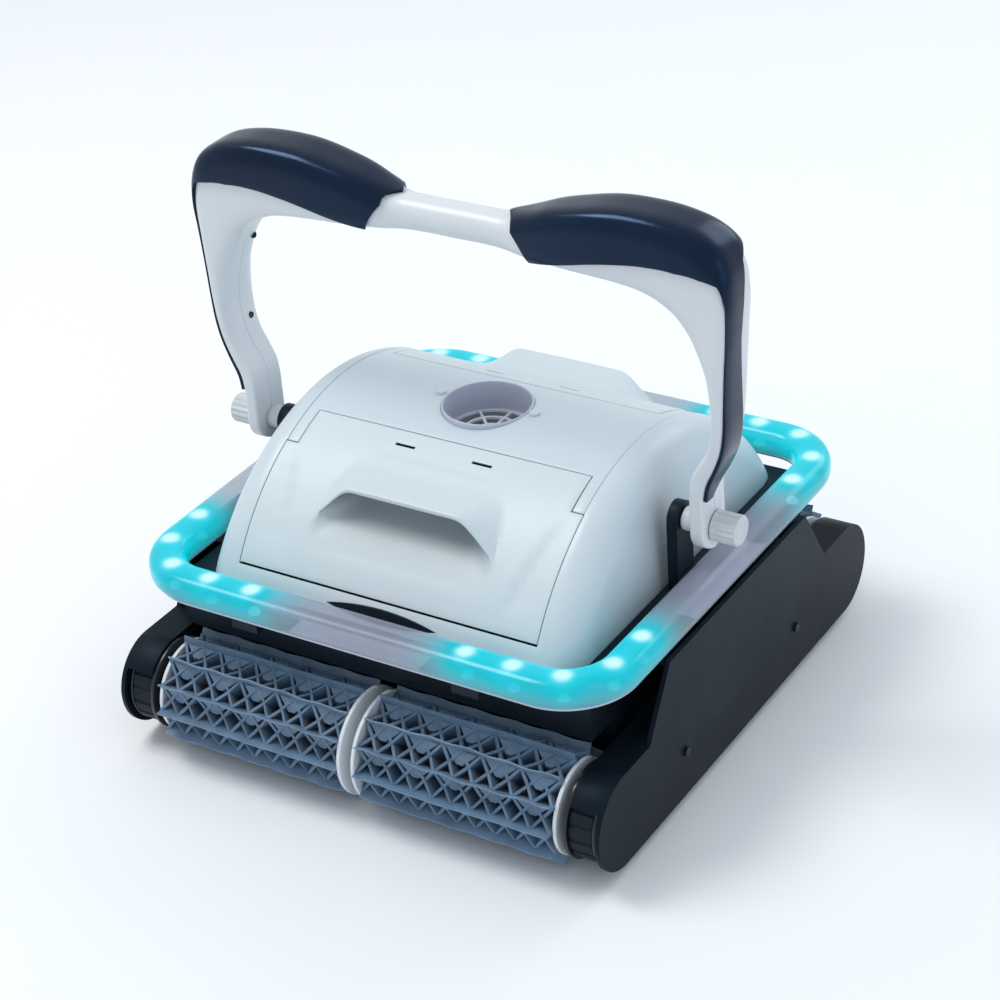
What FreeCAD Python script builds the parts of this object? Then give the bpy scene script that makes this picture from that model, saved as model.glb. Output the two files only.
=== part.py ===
"""Robotic pool cleaner: a tracked chassis under a domed body, a ring of lights and a tilting float handle.

X is the width, -Y is the front, Z is up, in millimetres, and the origin is on the floor under the middle.
Names ending in _half are measured from the middle plane, and front and rear are mirror images.
"""
import FreeCAD, Part
import math
import os
import re

import Sketcher

Vector = FreeCAD.Vector

SIZES = {
    # overall stance
    "body_width": 440.0,
    "axle_offset": 190.0,
    "axle_height": 48.0,
    # running and fitting gaps
    "running_gap": 0.06,
    "fit_gap": 0.05,
    "rolling_gap": 0.5,
    "seam_gap": 1.0,
    # rollers: wheel, core and brush on one fixed axle
    "axle_radius": 6.0,
    "hub_radius": 11.0,
    "bush_wall": 3.0,
    "wheel_flange_radius": 38.5,
    "wheel_flange_width": 3.0,
    "wheel_rim_width": 2.5,
    "core_radius": 19.0,
    "end_disc_radius": 38.0,
    "middle_disc_radius": 44.0,
    "disc_thickness": 3.0,
    "hanger_width": 7.0,
    "hanger_clearance": 1.5,
    "brush_radius": 47.5,
    "brush_sleeve": 3.0,
    "fin_thickness": 2.4,
    "fin_count": 10.0,
    # tracks
    "belt_radius": 36.0,
    "belt_thickness": 4.0,
    "belt_width": 19.5,
    "belt_flat_half": 150.0,
    "belt_corner_radius": 14.0,
    "guide_height": 26.0,
    # side frames, panels and posts
    "frame_wall": 4.0,
    "frame_end_radius": 20.0,
    "panel_wall": 4.0,
    "panel_radius": 40.0,
    "fender_inset": 3.2,
    "fender_drop": 24.0,
    "panel_hump_half": 115.0,
    "post_radius": 6.5,
    "post_offset": 95.0,
    "track_side_gap": 2.0,
    "track_space": 28.0,
    # chassis
    "tub_half_width": 184.0,
    "tub_half_length": 138.0,
    "tub_wall": 3.0,
    "tub_bottom": 14.0,
    "deck_half_width": 186.0,
    "deck_half_length": 176.0,
    "deck_bottom": 98.0,
    "deck_top": 142.0,
    "mouth_half_width": 136.0,
    "mouth_half_length": 166.0,
    "cover_thickness": 4.0,
    "intake_length": 220.0,
    "intake_width": 26.0,
    "intake_offset": 100.0,
    "flap_thickness": 2.0,
    "flap_overlap": 5.0,
    "flap_pin_radius": 1.5,
    "flap_ear": 3.0,
    # dome
    "dome_top": 252.0,
    "dome_radius": 192.0,
    "dome_half_width": 168.0,
    "dome_taper": 8.0,
    "dome_edge_radius": 30.0,
    "dome_wall": 3.0,
    "door_top_edge": 54.0,
    "door_step": 87.0,
    "door_bottom_edge": 163.0,
    "door_half_width": 135.0,
    "door_step_width": 11.0,
    "hinge_inset": 5.0,
    "hinge_depth": 3.0,
    "swing_clearance": 0.3,
    "hinge_pin_radius": 1.8,
    "hinge_boss_radius": 2.9,
    "hinge_boss_length": 9.0,
    "hood_start": 78.0,
    "hood_lip": 131.0,
    "hood_drop": 21.0,
    "hood_lip_half": 53.0,
    "hood_foot_half": 82.0,
    "hood_wall": 3.0,
    "scoop_angle": 39.5,
    "scoop_depth": 9.0,
    "scoop_half_length": 26.0,
    "slot_offset": 35.0,
    "slot_length": 18.0,
    "slot_width": 3.0,
    "slot_position": 70.0,
    # outlet, duct, guard and pump
    "outlet_radius": 35.0,
    "duct_wall": 2.0,
    "duct_bottom": 188.0,
    "rim_rise": 0.8,
    "guard_depth": 26.0,
    "guard_wire": 2.0,
    "impeller_tip_gap": 3.0,
    "impeller_height": 18.0,
    "impeller_bottom": 198.0,
    "impeller_hub_radius": 8.0,
    "pump_shaft_radius": 4.0,
    # motor unit
    "housing_half_width": 122.0,
    "housing_half_length": 42.0,
    "housing_top": 124.0,
    "housing_wall": 3.0,
    "pump_motor_radius": 26.0,
    "pump_motor_height": 66.0,
    "drive_motor_radius": 19.0,
    "drive_motor_length": 68.0,
    "drive_shaft_radius": 5.0,
    # filters and floats
    "basket_half_width": 130.0,
    "basket_length": 78.0,
    "basket_top": 178.0,
    "basket_wall": 2.5,
    "mesh_wall": 0.8,
    "mesh_rise": 40.0,
    "float_width": 16.0,
    "float_half_length": 92.0,
    "float_height": 68.0,
    # light ring
    "ring_half_width": 218.0,
    "ring_half_length": 215.0,
    "ring_corner_radius": 62.0,
    "ring_width": 30.0,
    "ring_height": 25.0,
    "ring_edge_radius": 10.0,
    "ring_wall": 5.0,
    "ring_base_thickness": 2.0,
    "board_thickness": 1.6,
    "lens_radius": 5.0,
    "lens_spacing": 40.0,
    "lens_shift": 16.0,
    "bracket_offset": 100.0,
    "bracket_width": 24.0,
    "bracket_height": 8.0,
    # handle and pivots
    "pivot_offset": 22.0,
    "pivot_height": 207.0,
    "pivot_pin_radius": 6.0,
    "knob_radius": 12.5,
    "knob_length": 22.0,
    "upright_inner": 176.0,
    "upright_thickness": 9.0,
    "upright_half_depth": 13.0,
    "lug_inner": 198.0,
    "lug_thickness": 13.0,
    "lug_radius": 19.0,
    "handle_depth": 46.0,
    "handle_wall": 3.0,
    "handle_rise": 250.0,
    "foam_gap": 1.0,
    "grip_thickness": 3.0,
    "spine_width": 30.0,
    "screw_radius": 2.2,
    "screw_head_radius": 4.0,
    "screw_head_height": 2.0,
    "shell_screw_offset": 43.0,
    "screw_boss_radius": 5.0,
    "screw_boss_height": 8.0,
    # cable inlet
    "gland_offset": 120.0,
    "gland_radius": 9.0,
    "gland_length": 16.0,
    "cable_radius": 4.0,
}

doc = FreeCAD.newDocument("pool_cleaner")
sheet = doc.addObject("Spreadsheet::Sheet", "sizes")
for row, (name, number) in enumerate(SIZES.items(), start=1):
    sheet.set(f"A{row}", name)
    sheet.set(f"B{row}", str(number))
    sheet.setAlias(f"B{row}", name)
doc.recompute()

ALONG = {
    "X": FreeCAD.Rotation(Vector(0, 1, 0), 90),
    "Y": FreeCAD.Rotation(Vector(1, 0, 0), -90),
    "Z": FreeCAD.Rotation(),
}
HALF_TURN = FreeCAD.Rotation(Vector(0, 0, 1), 180)
ENDS = {"front": -1, "rear": 1}
SIDES = {"left": -1, "right": 1}
nodes = {}


# ---- helpers that tie a shape to the sheet -------------------------------------------------------

def tied(expression):
    """The expression with each size's name pointed at its cell in the sheet."""
    def point(match):
        word = match.group()
        return "<<sizes>>." + word if word in SIZES else word
    return re.sub(r"[a-z_]+", point, str(expression))


def value(expression):
    """The number that an expression on the sheet comes to."""
    number = sheet.evalExpression(tied(expression))
    return float(getattr(number, "Value", number))


def place(thing, at, turn=None):
    """Put an object at a point given as three expressions, turned if asked."""
    thing.Placement = FreeCAD.Placement(Vector(), turn or FreeCAD.Rotation())
    for letter, expression in zip("xyz", at):
        thing.setExpression(f"Placement.Base.{letter}", tied(expression))
    return thing


def block(x, y, z):
    """A box between pairs of expressions on each axis."""
    box = doc.addObject("Part::Box", "block")
    for name, (low, high) in zip(("Length", "Width", "Height"), (x, y, z)):
        box.setExpression(name, tied(f"({high}) - ({low})"))
    return place(box, (x[0], y[0], z[0]))


def rod(axis, centre, span, radius):
    """A cylinder along an axis, its centre given on the other two axes in order."""
    cylinder = doc.addObject("Part::Cylinder", "rod")
    cylinder.setExpression("Radius", tied(radius))
    cylinder.setExpression("Height", tied(f"({span[1]}) - ({span[0]})"))
    first, second = centre
    at = {"X": (span[0], first, second), "Y": (first, span[0], second), "Z": (first, second, span[0])}
    return place(cylinder, at[axis], ALONG[axis])


def fuse(*pieces):
    """One solid out of pieces that overlap or touch."""
    joined = doc.addObject("Part::MultiFuse", "joined")
    joined.Shapes = list(pieces)
    joined.Refine = True
    return joined


def cut(base, *tools):
    """The base without its tools."""
    result = doc.addObject("Part::Cut", "cut")
    result.Base = base
    result.Tool = tools[0] if len(tools) == 1 else fuse(*tools)
    result.Refine = True
    return result


def group(*pieces):
    """Separate solids that share a node."""
    together = doc.addObject("Part::Compound", "group")
    together.Links = list(pieces)
    return together


def shaped(shape):
    """A document object that holds a shape made with Part's own functions."""
    holder = doc.addObject("Part::Feature", "shaped")
    holder.Shape = shape
    return holder


def node(name, thing):
    """Name a finished sub-part, and list it for the export."""
    thing.Label = name
    nodes[name] = thing
    return thing


def mirrored(span):
    """A span of expressions on the other side of the middle."""
    return (f"-({span[1]})", f"-({span[0]})")


def sided(sign, low, high):
    """The span from low to high on the side that the sign names."""
    return (low, high) if sign > 0 else mirrored((low, high))


def sketch_outline(body, points, plane="XY_Plane"):
    """A closed outline on one of the body's planes, each corner held by two sizes from the sheet."""
    sketch = body.newObject("Sketcher::SketchObject", "outline")
    support = [feature for feature in body.Origin.OriginFeatures if feature.Role == plane][0]
    sketch.AttachmentSupport = [(support, "")]
    sketch.MapMode = "FlatFace"
    corners = [Vector(value(across), value(up), 0) for across, up in points]
    count = len(corners)
    for index in range(count):
        sketch.addGeometry(Part.LineSegment(corners[index], corners[(index + 1) % count]), False)
    for index in range(count):
        sketch.addConstraint(Sketcher.Constraint("Coincident", index, 2, (index + 1) % count, 1))
    for index, point in enumerate(points):
        for kind, expression, number in zip(("DistanceX", "DistanceY"), point, corners[index]):
            held = sketch.addConstraint(Sketcher.Constraint(kind, -1, 1, index, 1, number))
            sketch.setExpression(f"Constraints[{held}]", tied(expression))
    return sketch


def turned(points, at, turn=None):
    """A body of revolution about its own X axis, from corners given as (station, radius)."""
    body = doc.addObject("PartDesign::Body", "turned")
    sketch = sketch_outline(body, points)
    revolution = body.newObject("PartDesign::Revolution", "revolution")
    revolution.Profile = sketch
    revolution.ReferenceAxis = (sketch, ["H_Axis"])
    revolution.Angle = 360
    return place(body, at, turn)


def hull_prism(circles, start, length):
    """A prism along X round the outside of circles (y, z, radius) that are listed anticlockwise."""
    edges = []
    touches = []
    count = len(circles)
    for index in range(count):
        y_from, z_from, r_from = circles[index]
        y_to, z_to, r_to = circles[(index + 1) % count]
        gap = math.hypot(y_to - y_from, z_to - z_from)
        lean = math.atan2(z_to - z_from, y_to - y_from) - math.acos((r_from - r_to) / gap)
        touches.append(lean)
    for index in range(count):
        y_mid, z_mid, radius = circles[index]
        arrive = touches[index - 1]
        leave = touches[index]
        while leave <= arrive:
            leave += 2 * math.pi
        arc = []
        for angle in (arrive, (arrive + leave) / 2, leave):
            arc.append(Vector(start, y_mid + radius * math.cos(angle), z_mid + radius * math.sin(angle)))
        edges.append(Part.Arc(*arc).toShape())
        y_next, z_next, r_next = circles[(index + 1) % count]
        landing = Vector(start, y_next + r_next * math.cos(leave), z_next + r_next * math.sin(leave))
        edges.append(Part.makeLine(arc[2], landing))
    return Part.Face(Part.Wire(edges)).extrude(Vector(length, 0, 0))


# ---- stations along the width, from the outside in ------------------------------------------------

PANEL_INNER = "body_width / 2 - panel_wall"
WHEEL_OUTER = f"{PANEL_INNER} - track_side_gap"
WHEEL_GROOVE_END = f"{WHEEL_OUTER} - wheel_rim_width"
WHEEL_GROOVE_START = f"{WHEEL_GROOVE_END} - belt_width - rolling_gap"
WHEEL_INNER = f"{WHEEL_GROOVE_START} - wheel_flange_width"
FRAME_OUTER = "tub_half_width + frame_wall"
ROLLER_INNER = "hanger_width / 2 + hanger_clearance"
ROLLER_OUTER = "tub_half_width - hanger_clearance"
BELT_INNER_RADIUS = "belt_radius - belt_thickness"
WHEEL_GROOVE_RADIUS = f"{BELT_INNER_RADIUS} - rolling_gap"
BORE = "axle_radius + running_gap"
DOME_CENTRE = "dome_top - dome_radius"


# ---- rollers: wheel, core and brush, four times ---------------------------------------------------

WHEEL_OUTLINE = [
    (ROLLER_OUTER, BORE),
    (WHEEL_OUTER, BORE),
    (WHEEL_OUTER, "belt_radius"),
    (WHEEL_GROOVE_END, "belt_radius"),
    (WHEEL_GROOVE_END, WHEEL_GROOVE_RADIUS),
    (WHEEL_GROOVE_START, WHEEL_GROOVE_RADIUS),
    (WHEEL_GROOVE_START, "wheel_flange_radius"),
    (WHEEL_INNER, "wheel_flange_radius"),
    (WHEEL_INNER, "hub_radius"),
    (ROLLER_OUTER, "hub_radius"),
]
CORE_OUTLINE = [
    (ROLLER_INNER, BORE),
    (ROLLER_OUTER, BORE),
    (ROLLER_OUTER, "end_disc_radius"),
    (f"{ROLLER_OUTER} - disc_thickness", "end_disc_radius"),
    (f"{ROLLER_OUTER} - disc_thickness", "core_radius"),
    (f"{ROLLER_INNER} + disc_thickness", "core_radius"),
    (f"{ROLLER_INNER} + disc_thickness", "middle_disc_radius"),
    (ROLLER_INNER, "middle_disc_radius"),
]
BRUSH_START = f"{ROLLER_INNER} + disc_thickness"
BRUSH_END = f"{ROLLER_OUTER} - disc_thickness"
SLEEVE_OUTLINE = [
    (BRUSH_START, "core_radius + fit_gap"),
    (BRUSH_END, "core_radius + fit_gap"),
    (BRUSH_END, "core_radius + brush_sleeve"),
    (BRUSH_START, "core_radius + brush_sleeve"),
]
FIN_OUTLINE = [
    (BRUSH_START, "core_radius + brush_sleeve / 2"),
    (BRUSH_END, "core_radius + brush_sleeve / 2"),
    (BRUSH_END, "brush_radius"),
    (BRUSH_START, "brush_radius"),
]


def brush_body(at, turn):
    """A soft sleeve with fins along its whole length, evenly spaced round it."""
    body = turned(SLEEVE_OUTLINE, at, turn)
    doc.recompute()
    fin_sketch = sketch_outline(body, FIN_OUTLINE)
    fin = body.newObject("PartDesign::Pad", "fin")
    fin.Profile = fin_sketch
    fin.Midplane = True
    fin.setExpression("Length", tied("fin_thickness"))
    fins = body.newObject("PartDesign::PolarPattern", "fins")
    fins.Originals = [fin]
    fins.Axis = (fin_sketch, ["H_Axis"])
    fins.Angle = 360
    fins.setExpression("Occurrences", tied("fin_count"))
    body.Tip = fins
    return body


for end, end_sign in ENDS.items():
    axle_y = f"{end_sign} * axle_offset"
    for side, side_sign in SIDES.items():
        facing = None if side_sign > 0 else HALF_TURN
        centre = ("0", axle_y, "axle_height")
        node(f"wheel_{end}_{side}", turned(WHEEL_OUTLINE, centre, facing))
        node(f"roller_core_{end}_{side}", turned(CORE_OUTLINE, centre, facing))
        node(f"brush_{end}_{side}", brush_body(centre, facing))
    node(f"axle_{end}", rod("X", (axle_y, "axle_height"), (f"-({PANEL_INNER})", PANEL_INNER), "axle_radius"))


# ---- drive wheels and their shafts ----------------------------------------------------------------

HOUSING_SHAFT_END = "housing_half_width - housing_wall - 6"
DRIVE_WHEEL_OUTLINE = [
    (HOUSING_SHAFT_END, "0"),
    (WHEEL_OUTER, "0"),
    (WHEEL_OUTER, "hub_radius"),
    (WHEEL_GROOVE_END, "hub_radius"),
    (WHEEL_GROOVE_END, WHEEL_GROOVE_RADIUS),
    (WHEEL_GROOVE_START, WHEEL_GROOVE_RADIUS),
    (WHEEL_GROOVE_START, "drive_shaft_radius"),
    (HOUSING_SHAFT_END, "drive_shaft_radius"),
]
for side, side_sign in SIDES.items():
    facing = None if side_sign > 0 else HALF_TURN
    node(f"drive_wheel_{side}", turned(DRIVE_WHEEL_OUTLINE, ("0", "0", "axle_height"), facing))


# ---- side frames, bushes, belts, guides and outer panels ------------------------------------------

def slot_plate(x, radius):
    """A plate across X with round ends about the two axles."""
    middle = block(x, ("-axle_offset", "axle_offset"), (f"axle_height - {radius}", f"axle_height + {radius}"))
    ends = [rod("X", (f"{sign} * axle_offset", "axle_height"), x, radius) for sign in ENDS.values()]
    return fuse(middle, *ends)


def belt_circles(inset):
    """Circles that the belt runs round: two raised end wheels and the two ends of its flat run."""
    wheel_y, wheel_z = value("axle_offset"), value("axle_height")
    wheel_r = value("belt_radius") - inset
    flat_y, corner_r = value("belt_flat_half"), value("belt_corner_radius")
    return [
        (wheel_y, wheel_z, wheel_r),
        (-wheel_y, wheel_z, wheel_r),
        (-flat_y, corner_r, corner_r - inset),
        (flat_y, corner_r, corner_r - inset),
    ]


bushes = []
for side, side_sign in SIDES.items():
    frame_x = sided(side_sign, "tub_half_width", FRAME_OUTER)
    post_x = sided(side_sign, FRAME_OUTER, PANEL_INNER)
    panel_x = sided(side_sign, PANEL_INNER, "body_width / 2")
    fender_x = sided(side_sign, f"{WHEEL_GROOVE_START} + rolling_gap", PANEL_INNER)
    plate = slot_plate(frame_x, "frame_end_radius")
    posts = []
    guides = []
    holes = [rod("X", ("0", "axle_height"), frame_x, "drive_shaft_radius + running_gap")]
    for end_sign in ENDS.values():
        axle_y = f"{end_sign} * axle_offset"
        posts.append(rod("X", (f"{end_sign} * post_offset", "axle_height"), post_x, "post_radius"))
        holes.append(rod("X", (axle_y, "axle_height"), frame_x, "hub_radius + bush_wall"))
        bush = cut(rod("X", (axle_y, "axle_height"), frame_x, "hub_radius + bush_wall - fit_gap"),
                   rod("X", (axle_y, "axle_height"), frame_x, "hub_radius + running_gap"))
        bushes.append(bush)
        guide_y = sided(end_sign, "wheel_flange_radius + 2", "belt_flat_half - 2")
        guide_x = sided(side_sign, FRAME_OUTER, WHEEL_GROOVE_END)
        guides.append(block(guide_x, guide_y, ("belt_thickness", "belt_thickness + guide_height")))
    node(f"side_frame_{side}", cut(fuse(plate, *posts, *guides), *holes))

    belt_start = value(WHEEL_GROOVE_START + " + rolling_gap / 2")
    belt_length = value("belt_width")
    if side_sign < 0:
        belt_start = -belt_start - belt_length
    outer = hull_prism(belt_circles(0), belt_start, belt_length)
    inner = hull_prism(belt_circles(value("belt_thickness")), belt_start, belt_length)
    node(f"track_belt_{side}", shaped(outer.cut(inner)))

    skin = slot_plate(panel_x, "panel_radius")
    fender = cut(slot_plate(fender_x, "panel_radius"), slot_plate(fender_x, "panel_radius - fender_inset"))
    keep = block(fender_x, ("-axle_offset - panel_radius", "axle_offset + panel_radius"),
                 ("axle_height + fender_drop", "axle_height + panel_radius"))
    fender_top = doc.addObject("Part::Common", "fender_top")
    fender_top.Base = fender
    fender_top.Tool = keep
    hump = doc.addObject("Part::Wedge", "hump")
    low, high = panel_x
    for name, expression in {
        "Xmin": "0", "Xmax": f"({high}) - ({low})", "X2min": "0", "X2max": f"({high}) - ({low})",
        "Zmin": "-belt_flat_half", "Zmax": "belt_flat_half",
        "Z2min": "-panel_hump_half", "Z2max": "panel_hump_half",
        "Ymin": "0", "Ymax": "deck_top - axle_height - panel_radius + 1",
    }.items():
        hump.setExpression(name, tied(expression))
    # the wedge grows along its own Y, which is turned upright here
    place(hump, (low, "0", "axle_height + panel_radius - 1"), FreeCAD.Rotation(Vector(1, 0, 0), 90))
    screw_holes = [rod("X", (f"{sign} * post_offset", "axle_height"), panel_x, "screw_radius + running_gap")
                   for sign in ENDS.values()]
    node(f"side_panel_{side}", cut(fuse(skin, fender_top, hump), *screw_holes))
node("axle_bushes", group(*bushes))


# ---- chassis tub, base cover, flaps, hangers ------------------------------------------------------

def both(half):
    """The span from minus to plus an expression."""
    return (f"-({half})", half)


def four_plates(outer, opening, height):
    """Four flat plates around an opening, butted at the corners: rear, front, right and left.

    The outer edge and the opening are half sizes in X and Y.
    """
    long_plates = [block(both(outer[0]), sided(sign, opening[1], outer[1]), height) for sign in (1, -1)]
    short_plates = [block(sided(sign, opening[0], outer[0]), both(opening[1]), height) for sign in (1, -1)]
    return long_plates + short_plates


# the tub is welded up from flat plates: its walls, the deck's floor, the deck's walls and the deck's top
TUB_OUTER = ("tub_half_width", "tub_half_length")
TUB_ROOM = ("tub_half_width - tub_wall", "tub_half_length - tub_wall")
DECK_OUTER = ("deck_half_width", "deck_half_length")
DECK_ROOM = ("deck_half_width - tub_wall", "deck_half_length - tub_wall")
DECK_MOUTH = ("mouth_half_width", "mouth_half_length")
tub_plates = four_plates(TUB_OUTER, TUB_ROOM, ("tub_bottom", "deck_bottom"))
SHAFT_HOLE = "drive_shaft_radius + running_gap"
for index, sign in ((2, 1), (3, -1)):
    # the drive shaft drops into a slot that is open below, before the base cover goes on
    plate_x = sided(sign, TUB_ROOM[0], TUB_OUTER[0])
    slot = block(plate_x, both(SHAFT_HOLE), ("tub_bottom", "axle_height"))
    seat = rod("X", ("0", "axle_height"), plate_x, SHAFT_HOLE)
    tub_plates[index] = cut(tub_plates[index], slot, seat)
deck_floor = four_plates(DECK_OUTER, TUB_ROOM, ("deck_bottom", "deck_bottom + tub_wall"))
deck_walls = four_plates(DECK_OUTER, DECK_ROOM, ("deck_bottom + tub_wall", "deck_top - tub_wall"))
cable_hole = rod("Y", ("-gland_offset", "(deck_bottom + deck_top) / 2"), (DECK_ROOM[1], DECK_OUTER[1]),
                 "cable_radius")
deck_walls[0] = cut(deck_walls[0], cable_hole)
deck_cap = four_plates(DECK_OUTER, DECK_MOUTH, ("deck_top - tub_wall", "deck_top"))
node("chassis_tub", group(*tub_plates, *deck_floor, *deck_walls, *deck_cap))

COVER_TOP = "tub_bottom + cover_thickness"
FLAP_LIFT = "0.3"
FLAP_LOW = f"{COVER_TOP} + {FLAP_LIFT}"
FLAP_PIN_Z = f"{FLAP_LOW} + flap_pin_radius"
FLAP_HALF = "intake_length / 2 + flap_overlap"
FLAP_PIN_HALF = f"{FLAP_HALF} + rolling_gap + flap_ear"
FLAP_PIN_Y = "intake_offset - intake_width / 2 - flap_overlap"
cover = block(both(TUB_ROOM[0]), both(TUB_ROOM[1]), ("tub_bottom", COVER_TOP))
ears = []
pin_holes = []
for end_sign in ENDS.values():
    pin_y = f"{end_sign} * ({FLAP_PIN_Y})"
    pin_holes.append(rod("X", (pin_y, FLAP_PIN_Z), both(f"{FLAP_PIN_HALF} + rolling_gap"),
                         "flap_pin_radius + running_gap"))
    for side_sign in SIDES.values():
        ear_x = sided(side_sign, f"{FLAP_HALF} + rolling_gap", f"{FLAP_PIN_HALF} + rolling_gap")
        ears.append(block(ear_x, (f"{pin_y} - flap_ear", f"{pin_y} + flap_ear"),
                          (COVER_TOP, f"{FLAP_PIN_Z} + flap_ear")))
intakes = [
    block(both("intake_length / 2"),
          (f"{sign} * intake_offset - intake_width / 2", f"{sign} * intake_offset + intake_width / 2"),
          ("tub_bottom", COVER_TOP))
    for sign in ENDS.values()
]
node("base_cover", cut(fuse(cover, *ears), *pin_holes, *intakes))

hangers = []
for end, sign in ENDS.items():
    flap_y = (f"{sign} * intake_offset - intake_width / 2 - flap_overlap",
              f"{sign} * intake_offset + intake_width / 2 + flap_overlap")
    leaf = block(both(FLAP_HALF), flap_y, (FLAP_LOW, f"{FLAP_LOW} + flap_thickness"))
    pin = rod("X", (f"{sign} * ({FLAP_PIN_Y})", FLAP_PIN_Z), both(FLAP_PIN_HALF), "flap_pin_radius")
    node(f"intake_flap_{end}", fuse(leaf, pin))
    arm_y = sided(sign, "tub_half_length", "axle_offset + hub_radius")
    arm = block(both("hanger_width / 2"), arm_y, ("axle_height - hub_radius", "axle_height + hub_radius"))
    hole = rod("X", (f"{sign} * axle_offset", "axle_height"), both("hanger_width / 2"),
               "axle_radius + fit_gap")
    hangers.append(cut(arm, hole))
node("axle_hangers", group(*hangers))


# ---- motor unit -----------------------------------------------------------------------------------

housing = cut(
    block(both("housing_half_width"), both("housing_half_length"), (COVER_TOP, "housing_top")),
    block(both("housing_half_width - housing_wall"), both("housing_half_length - housing_wall"),
          (COVER_TOP, "housing_top - housing_wall")),
    rod("X", ("0", "axle_height"), both("housing_half_width"), "drive_shaft_radius + running_gap"),
    rod("Z", ("0", "0"), ("housing_top - housing_wall", "housing_top"), "pump_shaft_radius + running_gap"),
)
node("motor_housing", housing)

HOUSING_CEILING = "housing_top - housing_wall"
PUMP_MOTOR_LOW = f"{HOUSING_CEILING} - pump_motor_height"
node("pump_motor", cut(
    rod("Z", ("0", "0"), (PUMP_MOTOR_LOW, HOUSING_CEILING), "pump_motor_radius"),
    rod("Z", ("0", "0"), (f"{HOUSING_CEILING} - 12", HOUSING_CEILING), "pump_shaft_radius + running_gap"),
))
node("shaft_seal", cut(
    rod("Z", ("0", "0"), ("housing_top", "housing_top + 7"), "pump_shaft_radius + 6"),
    rod("Z", ("0", "0"), ("housing_top", "housing_top + 7"), "pump_shaft_radius + running_gap"),
))
OUTER_END = "housing_half_width - housing_wall - 3"
drive_motors = []
for sign in SIDES.values():
    motor_x = sided(sign, f"{OUTER_END} - drive_motor_length", OUTER_END)
    can = rod("X", ("0", "axle_height"), motor_x, "drive_motor_radius")
    cradle = block(motor_x, both("drive_motor_radius / 2"), (COVER_TOP, "axle_height"))
    socket = rod("X", ("0", "axle_height"), sided(sign, HOUSING_SHAFT_END, OUTER_END),
                 "drive_shaft_radius + running_gap")
    drive_motors.append(cut(fuse(can, cradle), socket))
node("drive_motors", group(*drive_motors))


# ---- impeller and pump shaft ----------------------------------------------------------------------

def impeller_shape():
    """A hub with four pitched blades that fill the duct up to the tip gap."""
    low = value("impeller_bottom")
    height = value("impeller_height")
    hub_r = value("impeller_hub_radius")
    tip_r = value("outlet_radius - impeller_tip_gap")
    hub = Part.makeCylinder(hub_r, height, Vector(0, 0, low))
    reach = Part.makeCylinder(tip_r, height, Vector(0, 0, low))
    blade_thickness = value("flap_thickness")
    blade = Part.makeBox(tip_r + 4, blade_thickness, height * 2, Vector(0, -blade_thickness / 2, -height))
    blade.rotate(Vector(), Vector(1, 0, 0), 42)
    blade.translate(Vector(0, 0, low + height / 2))
    blades = []
    for quarter in range(4):
        copy = blade.copy()
        copy.rotate(Vector(), Vector(0, 0, 1), 90 * quarter)
        blades.append(copy.common(reach))
    solid = hub.fuse(blades).removeSplitter()
    bore = Part.makeCylinder(value("pump_shaft_radius + fit_gap"), height, Vector(0, 0, low))
    return solid.cut(bore)


node("impeller", shaped(impeller_shape()))
node("pump_shaft", rod("Z", ("0", "0"), (f"{HOUSING_CEILING} - 12", "impeller_bottom + impeller_height + 3"),
                       "pump_shaft_radius"))


# ---- dome: body shell, top bridge and two doors ---------------------------------------------------

def dome_solid(inset):
    """A barrel vault across the width, tapered at the sides, its long edges rounded."""
    radius = value("dome_radius") - inset
    centre_z = value(DOME_CENTRE)
    base = value("deck_top")
    half_foot = value("dome_half_width") - inset
    half_head = half_foot - value("dome_taper")
    vault = Part.makeCylinder(radius, 4 * half_foot, Vector(-2 * half_foot, 0, centre_z), Vector(1, 0, 0))
    head_z = centre_z + radius + 1
    corners = [(-half_foot, base), (half_foot, base), (half_head, head_z), (-half_head, head_z),
               (-half_foot, base)]
    front = Part.Face(Part.makePolygon([Vector(x, -2 * radius, z) for x, z in corners]))
    solid = vault.common(front.extrude(Vector(0, 4 * radius, 0)))
    rims = [edge for edge in solid.Edges
            if abs(edge.CenterOfMass.x) > half_head - 1 and edge.CenterOfMass.z > base + 5
            and edge.Length > radius]
    return solid.makeFillet(value("dome_edge_radius") - inset, rims)


def stepped_prism(margin):
    """The outline of both doors and the bridge between them in plan: narrow at each door's top corners."""
    wide = value("door_half_width") + margin
    narrow = value("door_half_width - door_step_width") + margin
    top = value("door_top_edge") - margin
    step = value("door_step") - margin
    foot = value("door_bottom_edge") + margin
    low, rise = value("deck_top") - 1, value("dome_top")
    prisms = []
    for sign in ENDS.values():
        corners = [(-narrow, top), (narrow, top), (narrow, step), (wide, step), (wide, foot), (-wide, foot),
                   (-wide, step), (-narrow, step), (-narrow, top)]
        face = Part.Face(Part.makePolygon([Vector(x, sign * y, low) for x, y in corners]))
        prisms.append(face.extrude(Vector(0, 0, rise)))
    return prisms


def vault(radius):
    """A solid cylinder across the width on the dome's centre line."""
    reach = value("body_width")
    return Part.makeCylinder(radius, 2 * reach, Vector(-reach, 0, value(DOME_CENTRE)), Vector(1, 0, 0))


def trapezium(y, top_half, top_z, foot_half):
    """A wire across the width at one y, its foot level with the dome's centre."""
    foot_z = value(DOME_CENTRE)
    corners = [(-foot_half, foot_z), (foot_half, foot_z), (top_half, top_z), (-top_half, top_z),
               (-foot_half, foot_z)]
    return Part.makePolygon([Vector(x, y, z) for x, z in corners])


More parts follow.
